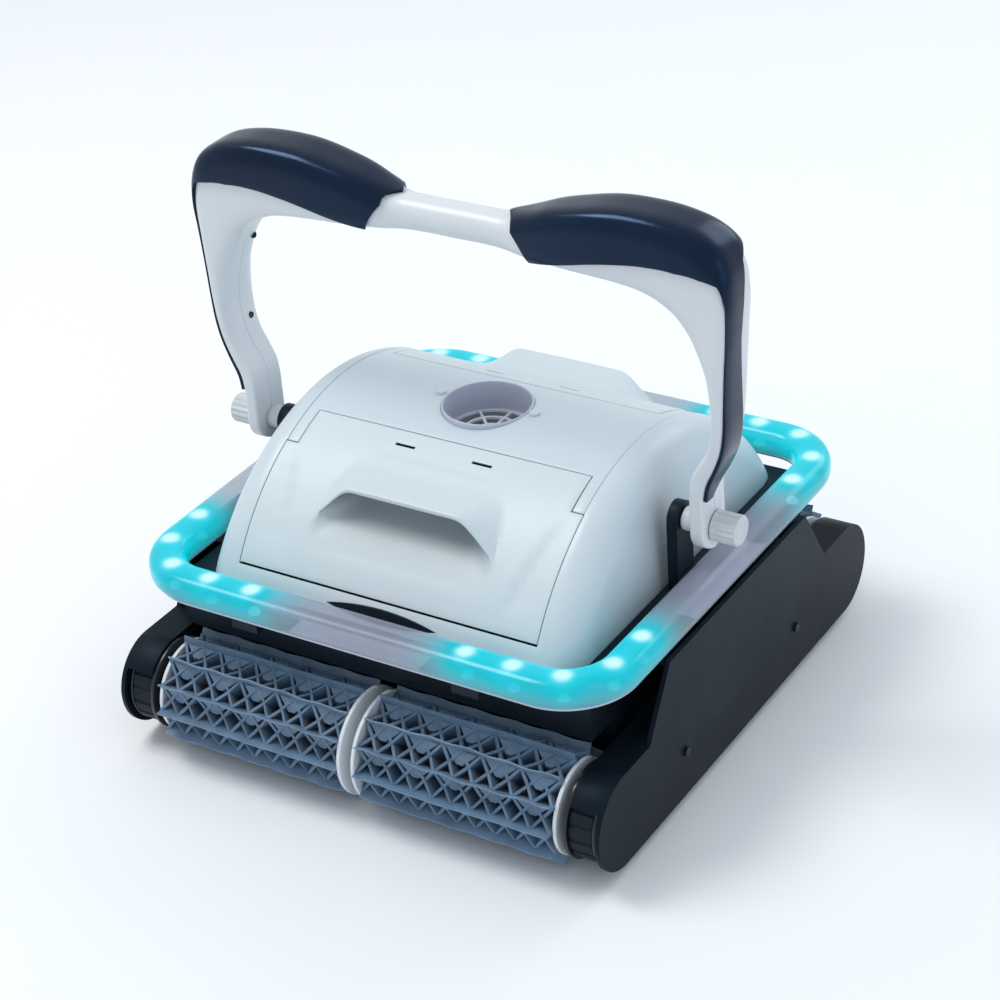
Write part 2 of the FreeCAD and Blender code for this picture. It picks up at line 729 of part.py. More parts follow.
def hood_solid(wall):
    """The hood of the rear door, or the room inside it when it is drawn in by a wall."""
    start_y = value("hood_start") + 5 * wall
    lip_y = value("hood_lip") + (1 if wall else 0)
    start_z = value(DOME_CENTRE) + math.sqrt(value("dome_radius") ** 2 - start_y ** 2) + wall / 2
    lip_z = value("dome_top - hood_drop")
    lip_half = value("hood_lip_half")
    foot_spread = (value("hood_foot_half") - lip_half) / (lip_z - value(DOME_CENTRE)
                                                          - math.sqrt(value("dome_radius") ** 2 - lip_y ** 2))
    foot_half = lip_half + foot_spread * (lip_z - value(DOME_CENTRE))
    start = trapezium(start_y, lip_half - wall, start_z, lip_half - wall + 1)
    lip = trapezium(lip_y, lip_half - 0.7 * wall, lip_z - wall, foot_half - 1.5 * wall)
    return Part.makeLoft([start, lip], True, True)


def scoop_solid(wall):
    """The bowl below the rear hood's lip: a shallow slice of a cylinder sunk into the slope."""
    angle = math.radians(value("scoop_angle"))
    depth = value("scoop_depth")
    radius = (value("scoop_half_length") ** 2 + depth ** 2) / (2 * depth)
    reach = value("dome_radius") + radius - depth
    centre = Vector(0, reach * math.sin(angle), value(DOME_CENTRE) + reach * math.cos(angle))
    half = value("hood_lip_half") + wall
    cylinder = Part.makeCylinder(radius + wall, 2 * half, centre - Vector(half, 0, 0), Vector(1, 0, 0))
    return cylinder.common(vault(value("dome_radius") - wall / 2))


outer_dome = dome_solid(0)
inner_dome = dome_solid(value("dome_wall"))
dome_shell = outer_dome.cut(inner_dome)
door_prisms = dict(zip(ENDS, stepped_prism(0)))
door_gaps = dict(zip(ENDS, stepped_prism(value("seam_gap"))))
bridge_half = value("door_half_width")
step = value("door_step")
low = value("deck_top") - 1
rise = value("dome_top")
bridge_box = Part.makeBox(2 * bridge_half, 2 * step, rise, Vector(-bridge_half, -step, low))
gap = value("seam_gap") / 2
bridge_gap = Part.makeBox(2 * (bridge_half + gap), 2 * step, rise, Vector(-bridge_half - gap, -step, low))

body_shell = dome_shell.cut(bridge_gap)
for prism in door_gaps.values():
    body_shell = body_shell.cut(prism)
node("body_shell", shaped(body_shell.removeSplitter()))

hinge_y = value("door_top_edge + hinge_inset")
hinge_z = value(DOME_CENTRE) + math.sqrt(value("dome_radius - hinge_depth") ** 2 - hinge_y ** 2)
narrow_half = value("door_half_width - door_step_width")
boss_r = value("hinge_boss_radius")
pin_r = value("hinge_pin_radius")
boss_length = value("hinge_boss_length")

bridge = dome_shell.common(bridge_box)
for prism in door_gaps.values():
    bridge = bridge.cut(prism)
outlet = Part.makeCylinder(value("outlet_radius + duct_wall"), rise, Vector(0, 0, low))
bridge = bridge.cut(outlet)
# the bridge's edges are hollowed around each hinge line, where the top edge of an opening door swings past
seam_drop = hinge_y - value("door_top_edge")
seam_rise = value(DOME_CENTRE) + math.sqrt(value("dome_radius") ** 2 - value("door_top_edge") ** 2) - hinge_z
swing_r = math.hypot(seam_drop, seam_rise) + value("swing_clearance")
for sign in ENDS.values():
    swing_start = Vector(-narrow_half - gap, sign * hinge_y, hinge_z)
    bridge = bridge.cut(Part.makeCylinder(swing_r, 2 * (narrow_half + gap), swing_start, Vector(1, 0, 0)))
boss_low = value("dome_top - dome_wall") - value("screw_boss_height")
for side_sign in SIDES.values():
    foot = Vector(side_sign * value("shell_screw_offset"), 0, boss_low)
    post = Part.makeCylinder(value("screw_boss_radius"), value("screw_boss_height") + 1, foot)
    bridge = bridge.fuse(post).cut(Part.makeCylinder(value("screw_radius + fit_gap"), rise, foot))
hinge_pins = []
doors = {}
for end, sign in ENDS.items():
    hood = hood_solid(0).cut(vault(value("dome_radius - dome_wall / 2")))
    hood_room = hood_solid(value("hood_wall")).cut(vault(value("dome_radius")))
    pan = scoop_solid(value("hood_wall"))
    scoop = scoop_solid(0)
    slot_cuts = []
    for side_sign in SIDES.values():
        slot_start = side_sign * value("slot_offset") - value("slot_length") / 2
        corner = Vector(slot_start, value("slot_position"), low)
        slot_cuts.append(Part.makeBox(value("slot_length"), value("slot_width"), rise, corner))
    for piece in (hood, hood_room, pan, scoop, *slot_cuts):
        if sign < 0:
            piece.rotate(Vector(), Vector(0, 0, 1), 180)
    door = dome_shell.common(door_prisms[end]).fuse([hood, pan])
    door = door.cut([scoop, hood_room, *slot_cuts])
    for side_sign in SIDES.values():
        reach = side_sign * (narrow_half - boss_length)
        boss = Part.makeCylinder(boss_r, boss_length, Vector(reach, sign * hinge_y, hinge_z),
                                 Vector(side_sign, 0, 0))
        bore = Part.makeCylinder(pin_r + value("running_gap"), boss_length,
                                 Vector(reach, sign * hinge_y, hinge_z), Vector(side_sign, 0, 0))
        door = door.fuse(boss).cut(bore)
        ear_start = side_sign * (narrow_half + value("seam_gap"))
        ear_length = value("door_step_width - seam_gap") - 1
        ear = Part.makeCylinder(boss_r, ear_length, Vector(ear_start, sign * hinge_y, hinge_z),
                                Vector(side_sign, 0, 0))
        pin_length = boss_length + value("seam_gap") + ear_length - 1
        pin_start = side_sign * (narrow_half - boss_length + 0.5)
        pin = Part.makeCylinder(pin_r, pin_length, Vector(pin_start, sign * hinge_y, hinge_z),
                                Vector(side_sign, 0, 0))
        bridge = bridge.fuse(ear).cut(pin)
        hinge_pins.append(pin)
    doors[end] = door.removeSplitter()
node("top_bridge", shaped(bridge.removeSplitter()))
for end in ENDS:
    node(f"{end}_door", shaped(doors[end]))
node("hinge_pins", shaped(Part.makeCompound(hinge_pins)))


# ---- outlet duct, guard ---------------------------------------------------------------------------

node("flow_duct", cut(
    rod("Z", ("0", "0"), ("duct_bottom", "dome_top + rim_rise"), "outlet_radius + duct_wall"),
    rod("Z", ("0", "0"), ("duct_bottom", "dome_top + rim_rise"), "outlet_radius"),
))


def guard_shape():
    """Concentric rings and spokes of one wire thickness."""
    wire = value("guard_wire")
    outer_r = value("outlet_radius - fit_gap")
    low_z = value("dome_top - guard_depth")
    rings = []
    for radius in (outer_r, outer_r * 2 / 3, outer_r / 3):
        ring = Part.makeCylinder(radius, wire, Vector(0, 0, low_z))
        rings.append(ring.cut(Part.makeCylinder(radius - wire, wire, Vector(0, 0, low_z))))
    spokes = []
    for index in range(8):
        spoke = Part.makeBox(outer_r - wire, wire, wire, Vector(wire, -wire / 2, low_z))
        spoke.rotate(Vector(), Vector(0, 0, 1), 45 * index)
        spokes.append(spoke)
    hub = Part.makeCylinder(wire * 2, wire, Vector(0, 0, low_z))
    inside = Part.makeCylinder(outer_r, wire, Vector(0, 0, low_z))
    return hub.fuse(rings + spokes).common(inside).removeSplitter()


node("outlet_guard", shaped(guard_shape()))


# ---- filters, floats, cable gland -----------------------------------------------------------------

meshes = []
float_blocks = []
for end, sign in ENDS.items():
    near = "housing_half_length + 3"
    far = f"{near} + basket_length"
    basket_y = sided(sign, near, far)
    inset_y = sided(sign, f"{near} + basket_wall", f"{far} - basket_wall")
    shell = block(both("basket_half_width"), basket_y, (COVER_TOP, "basket_top"))
    inside = block(both("basket_half_width - basket_wall"), inset_y, (COVER_TOP, "basket_top - basket_wall"))
    windows = block(both("basket_half_width - 12"), sided(sign, near, far), ("80", "basket_top - 14"))
    roof_window = block(both("basket_half_width - 12"), sided(sign, f"{near} + 10", f"{far} - 10"),
                        ("basket_top - basket_wall", "basket_top"))
    node(f"filter_basket_{end}", cut(shell, inside, windows, roof_window))
    mesh_low = f"{COVER_TOP} + mesh_rise"
    mesh_in_y = sided(sign, f"{near} + basket_wall + mesh_wall", f"{far} - basket_wall - mesh_wall")
    meshes.append(cut(
        block(both("basket_half_width - basket_wall"), inset_y, (mesh_low, "basket_top - basket_wall")),
        block(both("basket_half_width - basket_wall - mesh_wall"), mesh_in_y,
              (mesh_low, "basket_top - basket_wall - mesh_wall")),
    ))
node("filter_meshes", group(*meshes))
for sign in SIDES.values():
    float_blocks.append(block(sided(sign, "mouth_half_width + 2", "mouth_half_width + 2 + float_width"),
                              both("float_half_length"), ("deck_top", "deck_top + float_height")))
node("float_blocks", group(*float_blocks))

GLAND_Z = "(deck_bottom + deck_top) / 2"
GLAND_SPAN = ("deck_half_length", "deck_half_length + gland_length")
node("cable_gland", cut(
    rod("Y", ("-gland_offset", GLAND_Z), GLAND_SPAN, "gland_radius"),
    rod("Y", ("-gland_offset", GLAND_Z), GLAND_SPAN, "cable_radius"),
))


# ---- light ring -----------------------------------------------------------------------------------

def round_prism(inset, low_z, height):
    """A prism on the ring's rounded rectangle, moved inwards by the inset."""
    half_x = value("ring_half_width") - inset
    half_y = value("ring_half_length") - inset
    box = Part.makeBox(2 * half_x, 2 * half_y, height, Vector(-half_x, -half_y, low_z))
    uprights = [edge for edge in box.Edges if abs(edge.tangentAt(edge.FirstParameter).z) > 0.5]
    return box.makeFillet(value("ring_corner_radius") - inset, uprights)


def ring_band(inset, low_z, height):
    """The ring's footprint, inset the same from both of its edges."""
    return round_prism(inset, low_z, height).cut(round_prism(value("ring_width") - inset, low_z, height))


ring_low = value("deck_top")
ring_height = value("ring_height")
base_t = value("ring_base_thickness")
ring = ring_band(0, ring_low, ring_height)
top_edges = [edge for edge in ring.Edges if edge.BoundBox.ZMin > ring_low + ring_height - 0.01]
ring = ring.makeFillet(value("ring_edge_radius"), top_edges)
channel = ring_band(value("ring_wall"), ring_low, ring_height - value("ring_wall"))
node("light_ring", shaped(ring.cut(channel)))
node("ring_base", shaped(ring_band(value("ring_wall"), ring_low, base_t)))

board_low = ring_low + base_t
board_t = value("board_thickness")
board_band = ring_band(value("ring_wall") + 2, board_low, board_t)
corner_reach = value("ring_half_width")
boards = []
lenses = []
middle_x = value("ring_half_width - ring_width / 2")
middle_y = value("ring_half_length - ring_width / 2")
bend = value("ring_corner_radius - ring_width / 2")
quarter_length = math.pi / 2 * bend


def on_corner(distance):
    """The (x, y) on the ring's middle line, a distance from the middle of the right rear corner's bend."""
    half_bend = quarter_length / 2
    if distance > half_bend:
        return middle_x - bend - (distance - half_bend), middle_y
    if distance < -half_bend:
        return middle_x, middle_y - bend + (distance + half_bend)
    angle = math.pi / 4 + distance / bend
    return middle_x - bend + bend * math.cos(angle), middle_y - bend + bend * math.sin(angle)


for end_sign in ENDS.values():
    for side_sign in SIDES.values():
        corner = Part.makeBox(corner_reach, corner_reach, board_t,
                              Vector(60 if side_sign > 0 else -60 - corner_reach,
                                     60 if end_sign > 0 else -60 - corner_reach, board_low))
        boards.append(board_band.common(corner))
        for index in range(-2, 3):
            x, y = on_corner(index * value("lens_spacing") + value("lens_shift"))
            foot = Vector(side_sign * x, end_sign * y, board_low + board_t)
            bulb = Part.makeSphere(value("lens_radius"), foot)
            lenses.append(bulb.common(Part.makeBox(20, 20, 10, foot - Vector(10, 10, 0))))
node("light_boards", shaped(Part.makeCompound(boards)))
node("light_lenses", shaped(Part.makeCompound(lenses)))

brackets = []
for sign in (-1, 1):
    for offset in ("-bracket_offset", "bracket_offset"):
        across = (f"{offset} - bracket_width / 2", f"{offset} + bracket_width / 2")
        height = ("deck_top - bracket_height", "deck_top")
        brackets.append(block(across, sided(sign, "deck_half_length", "ring_half_length - ring_wall"),
                              height))
        brackets.append(block(sided(sign, "deck_half_width", "ring_half_width - ring_wall"), across, height))
node("ring_brackets", group(*brackets))


# ---- handle pivots: uprights on the deck, pins with ribbed knobs ----------------------------------

uprights = []
pins = []
PIVOT_Y = "-pivot_offset"
for sign in SIDES.values():
    upright_x = sided(sign, "upright_inner", "upright_inner + upright_thickness")
    foot = block(upright_x, (f"{PIVOT_Y} - upright_half_depth", f"{PIVOT_Y} + upright_half_depth"),
                 ("deck_top", "pivot_height"))
    eye = rod("X", (PIVOT_Y, "pivot_height"), upright_x, "upright_half_depth")
    hole = rod("X", (PIVOT_Y, "pivot_height"), upright_x, "pivot_pin_radius + fit_gap")
    uprights.append(cut(fuse(foot, eye), hole))
    knob_start = "lug_inner + lug_thickness + rolling_gap"
    pin = rod("X", (PIVOT_Y, "pivot_height"), sided(sign, "upright_inner", knob_start), "pivot_pin_radius")
    knob = rod("X", (PIVOT_Y, "pivot_height"), sided(sign, knob_start, f"{knob_start} + knob_length"),
               "knob_radius")
    collar = rod("X", (PIVOT_Y, "pivot_height"),
                 sided(sign, "upright_inner + upright_thickness", "lug_inner - rolling_gap"),
                 "knob_radius - 3")
    pins.append(fuse(pin, knob, collar))
node("pivot_uprights", group(*uprights))
node("pivot_pins", group(*pins))


# ---- handle: two shells, two grips, foam core, screws ---------------------------------------------

pivot_z = value("pivot_height")
pivot_y = value(PIVOT_Y)
handle_top = pivot_z + value("handle_rise")
lug_in = value("lug_inner")
lug_out = value("lug_inner + lug_thickness")
lug_r = value("lug_radius")
half_depth = value("handle_depth") / 2
wall = value("handle_wall")


def pushed(loop, out):
    """The corners of an anticlockwise loop (x, z), each moved outwards square to its two neighbours."""
    moved = []
    for index, (x, z) in enumerate(loop):
        x_before, z_before = loop[index - 1]
        x_after, z_after = loop[(index + 1) % len(loop)]
        first = Vector(z - z_before, 0, x_before - x).normalize()
        second = Vector(z_after - z, 0, x - x_after).normalize()
        middle = (first + second).normalize()
        moved.append(Vector(x, 0, z) + middle * (out / middle.dot(first)))
    return moved


def handle_face(out):
    """The handle seen from the front, grown outwards: arms bowed out over the pivots, a bar between them."""
    outer = [(lug_out, pivot_z + 34), (lug_out + 9, pivot_z + 52), (lug_out + 17, pivot_z + 72),
             (lug_out + 20, pivot_z + 110), (lug_out + 24, pivot_z + 170), (lug_out + 26, handle_top - 42),
             (lug_out + 15, handle_top - 14), (lug_out - 20, handle_top - 2), (lug_out - 60, handle_top),
             (104, handle_top - 8), (62, handle_top - 24)]
    inner = [(44, handle_top - 52), (93, handle_top - 54), (140, handle_top - 56), (174, handle_top - 62),
             (lug_in + 4, handle_top - 82), (lug_in + 14, pivot_z + 135), (lug_in + 20, pivot_z + 98),
             (lug_in + 15, pivot_z + 70), (lug_in + 4, pivot_z + 52), (lug_in, pivot_z + 38)]
    feet = [(lug_in, pivot_z - lug_r), (lug_out, pivot_z - lug_r)]
    right = feet + outer
    left = [(-x, z) for x, z in reversed(right)]
    inside = [(-x, z) for x, z in reversed(inner)] + inner
    corners = pushed(right + left + inside, out)
    runs = []
    for count in (1, 1, len(outer), len(outer), 1, 1, len(inner), len(inner)):
        runs.append(corners[:count])
        corners = corners[count:]
    edges = []
    for run, following in zip(runs, runs[1:] + runs[:1]):
        if len(run) > 1:
            curve = Part.BSplineCurve()
            curve.interpolate(run)
            edges.append(curve.toShape())
        edges.append(Part.makeLine(run[-1], following[0]))
    return Part.Face(Part.Wire(edges))


def slab(face, near, far):
    """The face carried along Y between two distances from the handle's middle plane."""
    moved = face.copy()
    moved.translate(Vector(0, pivot_y + near, 0))
    return moved.extrude(Vector(0, far - near, 0))


face = handle_face(0)
eye_cores = []
eye_holes = []
for sign in SIDES.values():
    start = Vector(sign * lug_in, pivot_y, pivot_z)
    eye_cores.append(Part.makeCylinder(lug_r, lug_out - lug_in, start, Vector(sign, 0, 0)))
    eye_holes.append(Part.makeCylinder(value("pivot_pin_radius + running_gap"), lug_out - lug_in, start,
                                       Vector(sign, 0, 0)))
side_trim = Part.makeBox(800, 200, pivot_z, Vector(-400, pivot_y - 100, 0))
hollow = slab(handle_face(-wall), -half_depth + wall, half_depth - wall)
whole = slab(face, -half_depth, half_depth)
whole = whole.cut(side_trim)
for trim_y in (pivot_y + lug_r, pivot_y - lug_r - 60):
    whole = whole.cut(Part.makeBox(800, 60, lug_r + 40, Vector(-400, trim_y, pivot_z - 20)))
hollow = hollow.cut(Part.makeBox(800, 200, pivot_z + lug_r + 24, Vector(-400, pivot_y - 100, 0)))
whole = whole.fuse(eye_cores).removeSplitter()
shell = whole.cut(hollow)
for hole in eye_holes:
    shell = shell.cut(hole)
front_half = Part.makeBox(800, 200, 800, Vector(-400, pivot_y - 200, 0))
lower = Part.makeBox(800, 400, pivot_z + lug_r + 22, Vector(-400, pivot_y - 200, 0))
front_region = front_half.fuse(lower)
front_shell = shell.common(front_region)
rear_shell = shell.cut(front_region)
node("handle_front_shell", shaped(front_shell))
node("handle_rear_shell", shaped(rear_shell))
foam_inset = wall + value("foam_gap")
foam = slab(handle_face(-foam_inset), -half_depth + foam_inset, half_depth - foam_inset)
foam = foam.cut(Part.makeBox(800, 200, pivot_z + lug_r + 26, Vector(-400, pivot_y - 100, 0)))
node("handle_foam", shaped(foam))

grip_t = value("grip_thickness")
proud = slab(handle_face(grip_t), -half_depth - grip_t, half_depth + grip_t)
grip_gap = value("fit_gap")
cover_space = proud.cut(slab(handle_face(grip_gap), -half_depth - grip_gap, half_depth + grip_gap))
for side, sign in SIDES.items():
    outline = [(50, handle_top - 20), (90, handle_top - 46), (130, handle_top - 36), (180, handle_top - 32),
               (214, handle_top - 38), (lug_out + 12, handle_top - 56), (300, handle_top - 56),
               (300, handle_top + 30), (100, handle_top + 30), (50, handle_top - 20)]
    window = Part.Face(Part.makePolygon([Vector(sign * x, 0, z) for x, z in outline]))
    band = cover_space.common(slab(window, -half_depth - 10, half_depth + 10))
    spine_half = value("spine_width") / 2
    spine_low = pivot_z + 34
    spine_x = lug_out - 6 if sign > 0 else -lug_out - 54
    spine_box = Part.makeBox(60, 2 * spine_half, handle_top - 50 - spine_low,
                             Vector(spine_x, pivot_y - spine_half, spine_low))
    spine = cover_space.common(spine_box)
    pieces = band.fuse(spine).removeSplitter().Solids
    node(f"grip_{side}", shaped(max(pieces, key=lambda solid: solid.Volume)))


# ---- screws ---------------------------------------------------------------------------------------

def screw(start, direction, length):
    """A pan head on a plain shank: the head stands on the start point, the shank runs the other way."""
    head = Part.makeCylinder(value("screw_head_radius"), value("screw_head_height"), start, direction)
    shank = Part.makeCylinder(value("screw_radius"), length, start, direction * -1)
    return head.fuse(shank)


panel_screws = []
for side_sign in SIDES.values():
    for end_sign in ENDS.values():
        start = Vector(side_sign * value("body_width / 2"), end_sign * value("post_offset"),
                       value("axle_height"))
        panel_screws.append(screw(start, Vector(side_sign, 0, 0), value("panel_wall")))
node("panel_screws", shaped(Part.makeCompound(panel_screws)))

shell_screws = []
crown_z = value("dome_top - dome_wall")
for side_sign in SIDES.values():
    start = Vector(side_sign * value("shell_screw_offset"), 0, crown_z + value("dome_wall") + 0.1)
    shell_screws.append(screw(start, Vector(0, 0, 1), value("dome_wall") + 6))
node("shell_screws", shaped(Part.makeCompound(shell_screws)))


# ---- check everything, then write -----------------------------------------------------------------

doc.recompute()
for item in doc.Objects:
    if "Invalid" in item.State or "Error" in item.State:
        raise RuntimeError(f"{item.Label} is {item.State}")
for name, thing in nodes.items():
    if thing.Shape.isNull() or not thing.Shape.isValid() or not thing.Shape.Solids:
        raise RuntimeError(f"{name} has no valid solid")

os.makedirs("parts", exist_ok=True)
for name, thing in nodes.items():
    thing.Shape.exportStep(f"parts/{name}.step")
    print(f"{name:24s} {len(thing.Shape.Solids):3d} solids {thing.Shape.Volume / 1000:9.1f} cm3")
print(len(nodes), "nodes")
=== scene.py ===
# %% [markdown]
# # A tracked pool cleaning robot, dressed in Blender
# The robot is already designed as an engineering model: sixty named parts on thirteen bodies, the chassis
# and twelve that move. This lesson loads that model as a fixed frame and gives it its looks. Parts whose
# engineering shape is right keep their mesh and get a better finish. Parts that need softer shapes, such
# as the dome, the ring of lights, the handle and the brushes, are replaced by surfaces that are worked
# out with numpy. X runs across the robot, the front is towards -Y, Z is up, and every length is in
# metres.

# %% Load the frame
import math

import bmesh
import bpy
import numpy as np
from mathutils import Matrix, Vector


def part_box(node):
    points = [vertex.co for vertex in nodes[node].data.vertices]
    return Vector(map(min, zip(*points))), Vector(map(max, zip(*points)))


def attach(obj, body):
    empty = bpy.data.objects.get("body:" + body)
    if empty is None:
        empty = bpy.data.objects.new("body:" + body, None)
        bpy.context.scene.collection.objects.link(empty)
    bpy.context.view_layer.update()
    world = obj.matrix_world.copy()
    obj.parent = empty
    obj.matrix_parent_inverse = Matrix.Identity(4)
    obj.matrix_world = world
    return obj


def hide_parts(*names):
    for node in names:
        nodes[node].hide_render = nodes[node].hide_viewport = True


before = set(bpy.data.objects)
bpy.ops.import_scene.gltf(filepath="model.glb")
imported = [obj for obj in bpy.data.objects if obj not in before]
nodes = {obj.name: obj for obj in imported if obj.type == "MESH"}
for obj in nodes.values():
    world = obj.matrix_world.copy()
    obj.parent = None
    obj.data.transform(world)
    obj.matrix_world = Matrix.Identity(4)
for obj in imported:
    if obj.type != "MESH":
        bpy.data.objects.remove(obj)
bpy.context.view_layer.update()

# %% [markdown]
# ## The camera and the light
# The robot is seen from its front right, from a little above, through a long lens, with the camera rolled
# a few degrees. A long lens flattens the perspective, which suits a product. The light is a soft studio:
# a strong key high on the left, a cool fill on the right, a rim lamp behind, and a pale world that closes
# the shadows.

# %% Camera
CAMERA_PLACE = (1.0069, -1.5200, 1.2341)
CAMERA_RIGHT = (0.853, 0.518, -0.063)
CAMERA_UP = (-0.217, 0.462, 0.860)
LENS = 94.7


def aim(right, up):
    """Rotation of a camera from its right and up directions: the third axis is their cross product."""
    x = np.array(right, float)
    x /= np.linalg.norm(x)
    y = np.array(up, float)
    y -= x * (x @ y)
    y /= np.linalg.norm(y)
    turn = np.eye(4)
    turn[:3, 0], turn[:3, 1], turn[:3, 2] = x, y, np.cross(x, y)
    return turn


lens = bpy.data.cameras.new("camera")
lens.lens, lens.sensor_width = LENS, 36.0
camera = bpy.data.objects.new("camera", lens)
turn = aim(CAMERA_RIGHT, CAMERA_UP)
turn[:3, 3] = CAMERA_PLACE
camera.matrix_world = Matrix(turn.tolist())
bpy.context.scene.collection.objects.link(camera)
bpy.context.scene.camera = camera
print("camera at", CAMERA_PLACE)

# %% Lamps and world
def soft_lamp(name, place, toward, size, power, colour):
    """A square area lamp that looks from one point toward another."""
    data = bpy.data.lights.new(name, "AREA")
    data.shape, data.size, data.energy, data.color = "SQUARE", size, power, colour
    lamp = bpy.data.objects.new(name, data)
    back = np.array(place, float) - np.array(toward, float)
    back /= np.linalg.norm(back)
    side = np.cross((0.0, 0.0, 1.0), back)
    stand = aim(side, np.cross(back, side))
    stand[:3, 3] = place
    lamp.matrix_world = Matrix(stand.tolist())
    bpy.context.scene.collection.objects.link(lamp)
    return lamp


soft_lamp("key_lamp", (-1.3, -0.5, 2.6), (0.0, 0.0, 0.15), 1.1, 34.0, (1.0, 0.985, 0.96))
soft_lamp("fill_lamp", (2.4, -0.5, 1.0), (0.0, 0.0, 0.15), 1.6, 6.0, (0.55, 0.74, 1.0))
soft_lamp("rim_lamp", (0.6, 2.2, 1.6), (0.0, 0.0, 0.25), 1.2, 10.0, (0.9, 0.95, 1.0))

world = bpy.data.worlds.new("pale_room")
world.use_nodes = True
world.node_tree.nodes["Background"].inputs["Color"].default_value = (0.86, 0.91, 0.97, 1.0)
world.node_tree.nodes["Background"].inputs["Strength"].default_value = 0.80
bpy.context.scene.world = world
bpy.context.scene.view_settings.view_transform = "Standard"

# %% [markdown]
# ## Effects that several finishes share
# Plastic is never one flat colour. Each finish here is a Principled shader fed by small node groups: a
# fine moulded grain for the bump, a slow drift of tint with paler worn edges, and smudges that change the
# roughness. A group is built once and placed in every finish with its own values, so all parts look as if
# they came from one workshop.

# %% Helpers for node groups
GROUP_SOCKETS = {"float": "NodeSocketFloat", "colour": "NodeSocketColor"}


def new_group(name, inputs, outputs):
    """An empty shader group. inputs and outputs map a socket's name to its kind and starting value."""
    tree = bpy.data.node_groups.new(name, "ShaderNodeTree")
    for label, (kind, start) in inputs.items():
        socket = tree.interface.new_socket(label, in_out="INPUT", socket_type=GROUP_SOCKETS[kind])
        socket.default_value = start
    for label, kind in outputs.items():
        tree.interface.new_socket(label, in_out="OUTPUT", socket_type=GROUP_SOCKETS[kind])
    return tree, tree.nodes.new("NodeGroupInput"), tree.nodes.new("NodeGroupOutput")


def noise(tree, coordinates, scale, detail=3.0, kind="ShaderNodeTexNoise"):
    """A noise or cell texture read at the given coordinates. scale is a number or a socket."""
    texture = tree.nodes.new(kind)
    tree.links.new(coordinates, texture.inputs["Vector"])
    if isinstance(scale, bpy.types.NodeSocket):
        tree.links.new(scale, texture.inputs["Scale"])
    else:
        texture.inputs["Scale"].default_value = scale
    if "Detail" in texture.inputs:
        texture.inputs["Detail"].default_value = detail
    return texture


def compute(tree, operation, first, second=0.0, third=0.0, clamp=False):
    """One math node. Each term is a number or a socket."""
    step = tree.nodes.new("ShaderNodeMath")
    step.operation, step.use_clamp = operation, clamp
    for slot_number, term in enumerate((first, second, third)):
        if isinstance(term, bpy.types.NodeSocket):
            tree.links.new(term, step.inputs[slot_number])
        else:
            step.inputs[slot_number].default_value = term
    return step.outputs[0]


def mixed(tree, share, first, second):
    """Two colours mixed by a share from 0 to 1. Each term is a socket or a colour."""
    step = tree.nodes.new("ShaderNodeMix")
    step.data_type = "RGBA"
    for label, term in (("Factor", share), ("A", first), ("B", second)):
        socket = [s for s in step.inputs if s.name == label and (s.type == "RGBA" or label == "Factor")][0]
        if isinstance(term, bpy.types.NodeSocket):
            tree.links.new(term, socket)
        else:
            socket.default_value = term
    return [s for s in step.outputs if s.type == "RGBA"][0]


# %% The shared groups
def grain_group():
    """Moulded grain: fine noise plus a slower sag of the surface, as a height for Bump."""
    tree, given, out = new_group("moulded_grain", {"Scale": ("float", 900.0), "Sag": ("float", 0.3)},
                                 {"Height": "float"})
    place = tree.nodes.new("ShaderNodeTexCoord").outputs["Object"]
    fine = noise(tree, place, given.outputs["Scale"], 2.0).outputs[0]
    slow = noise(tree, place, 22.0, 1.0).outputs[0]
    height = compute(tree, "MULTIPLY_ADD", slow, given.outputs["Sag"], fine)
    tree.links.new(height, out.inputs["Height"])
    return tree


def tint_group():
    """Tint: a colour that drifts slowly, with convex edges rubbed towards a second colour."""
    tree, given, out = new_group("tint_and_wear", {
        "Color": ("colour", (0.8, 0.8, 0.8, 1.0)), "Drift Color": ("colour", (0.7, 0.7, 0.7, 1.0)),
        "Edge Color": ("colour", (0.9, 0.9, 0.9, 1.0)), "Wear": ("float", 0.3), "Drift Scale": ("float", 9.0),
    }, {"Color": "colour"})
    place = tree.nodes.new("ShaderNodeTexCoord").outputs["Object"]
    slow = noise(tree, place, given.outputs["Drift Scale"], 4.0).outputs[0]
    share = compute(tree, "MULTIPLY_ADD", slow, 2.2, -0.6, clamp=True)
    drifted = mixed(tree, share, given.outputs["Color"], given.outputs["Drift Color"])
    point = tree.nodes.new("ShaderNodeNewGeometry").outputs["Pointiness"]
    edge = compute(tree, "MULTIPLY_ADD", point, 14.0, -7.35, clamp=True)
    patchy = noise(tree, place, 60.0, 3.0).outputs[0]
    worn = compute(tree, "MULTIPLY", patchy, given.outputs["Wear"])
    rubbed = compute(tree, "MULTIPLY", edge, worn, clamp=True)
    tree.links.new(mixed(tree, rubbed, drifted, given.outputs["Edge Color"]), out.inputs["Color"])
    return tree


def smudge_group():
    """Smudges: a roughness that wanders around its middle value, as on plastic that has been handled."""
    tree, given, out = new_group("smudges", {"Roughness": ("float", 0.4), "Spread": ("float", 0.15)},
                                 {"Roughness": "float"})
    place = tree.nodes.new("ShaderNodeTexCoord").outputs["Object"]
    broad = noise(tree, place, 16.0, 5.0).outputs[0]
    centred = compute(tree, "SUBTRACT", broad, 0.5)
    value = compute(tree, "MULTIPLY_ADD", centred, given.outputs["Spread"], given.outputs["Roughness"],
                    clamp=True)
    tree.links.new(value, out.inputs["Roughness"])
    return tree


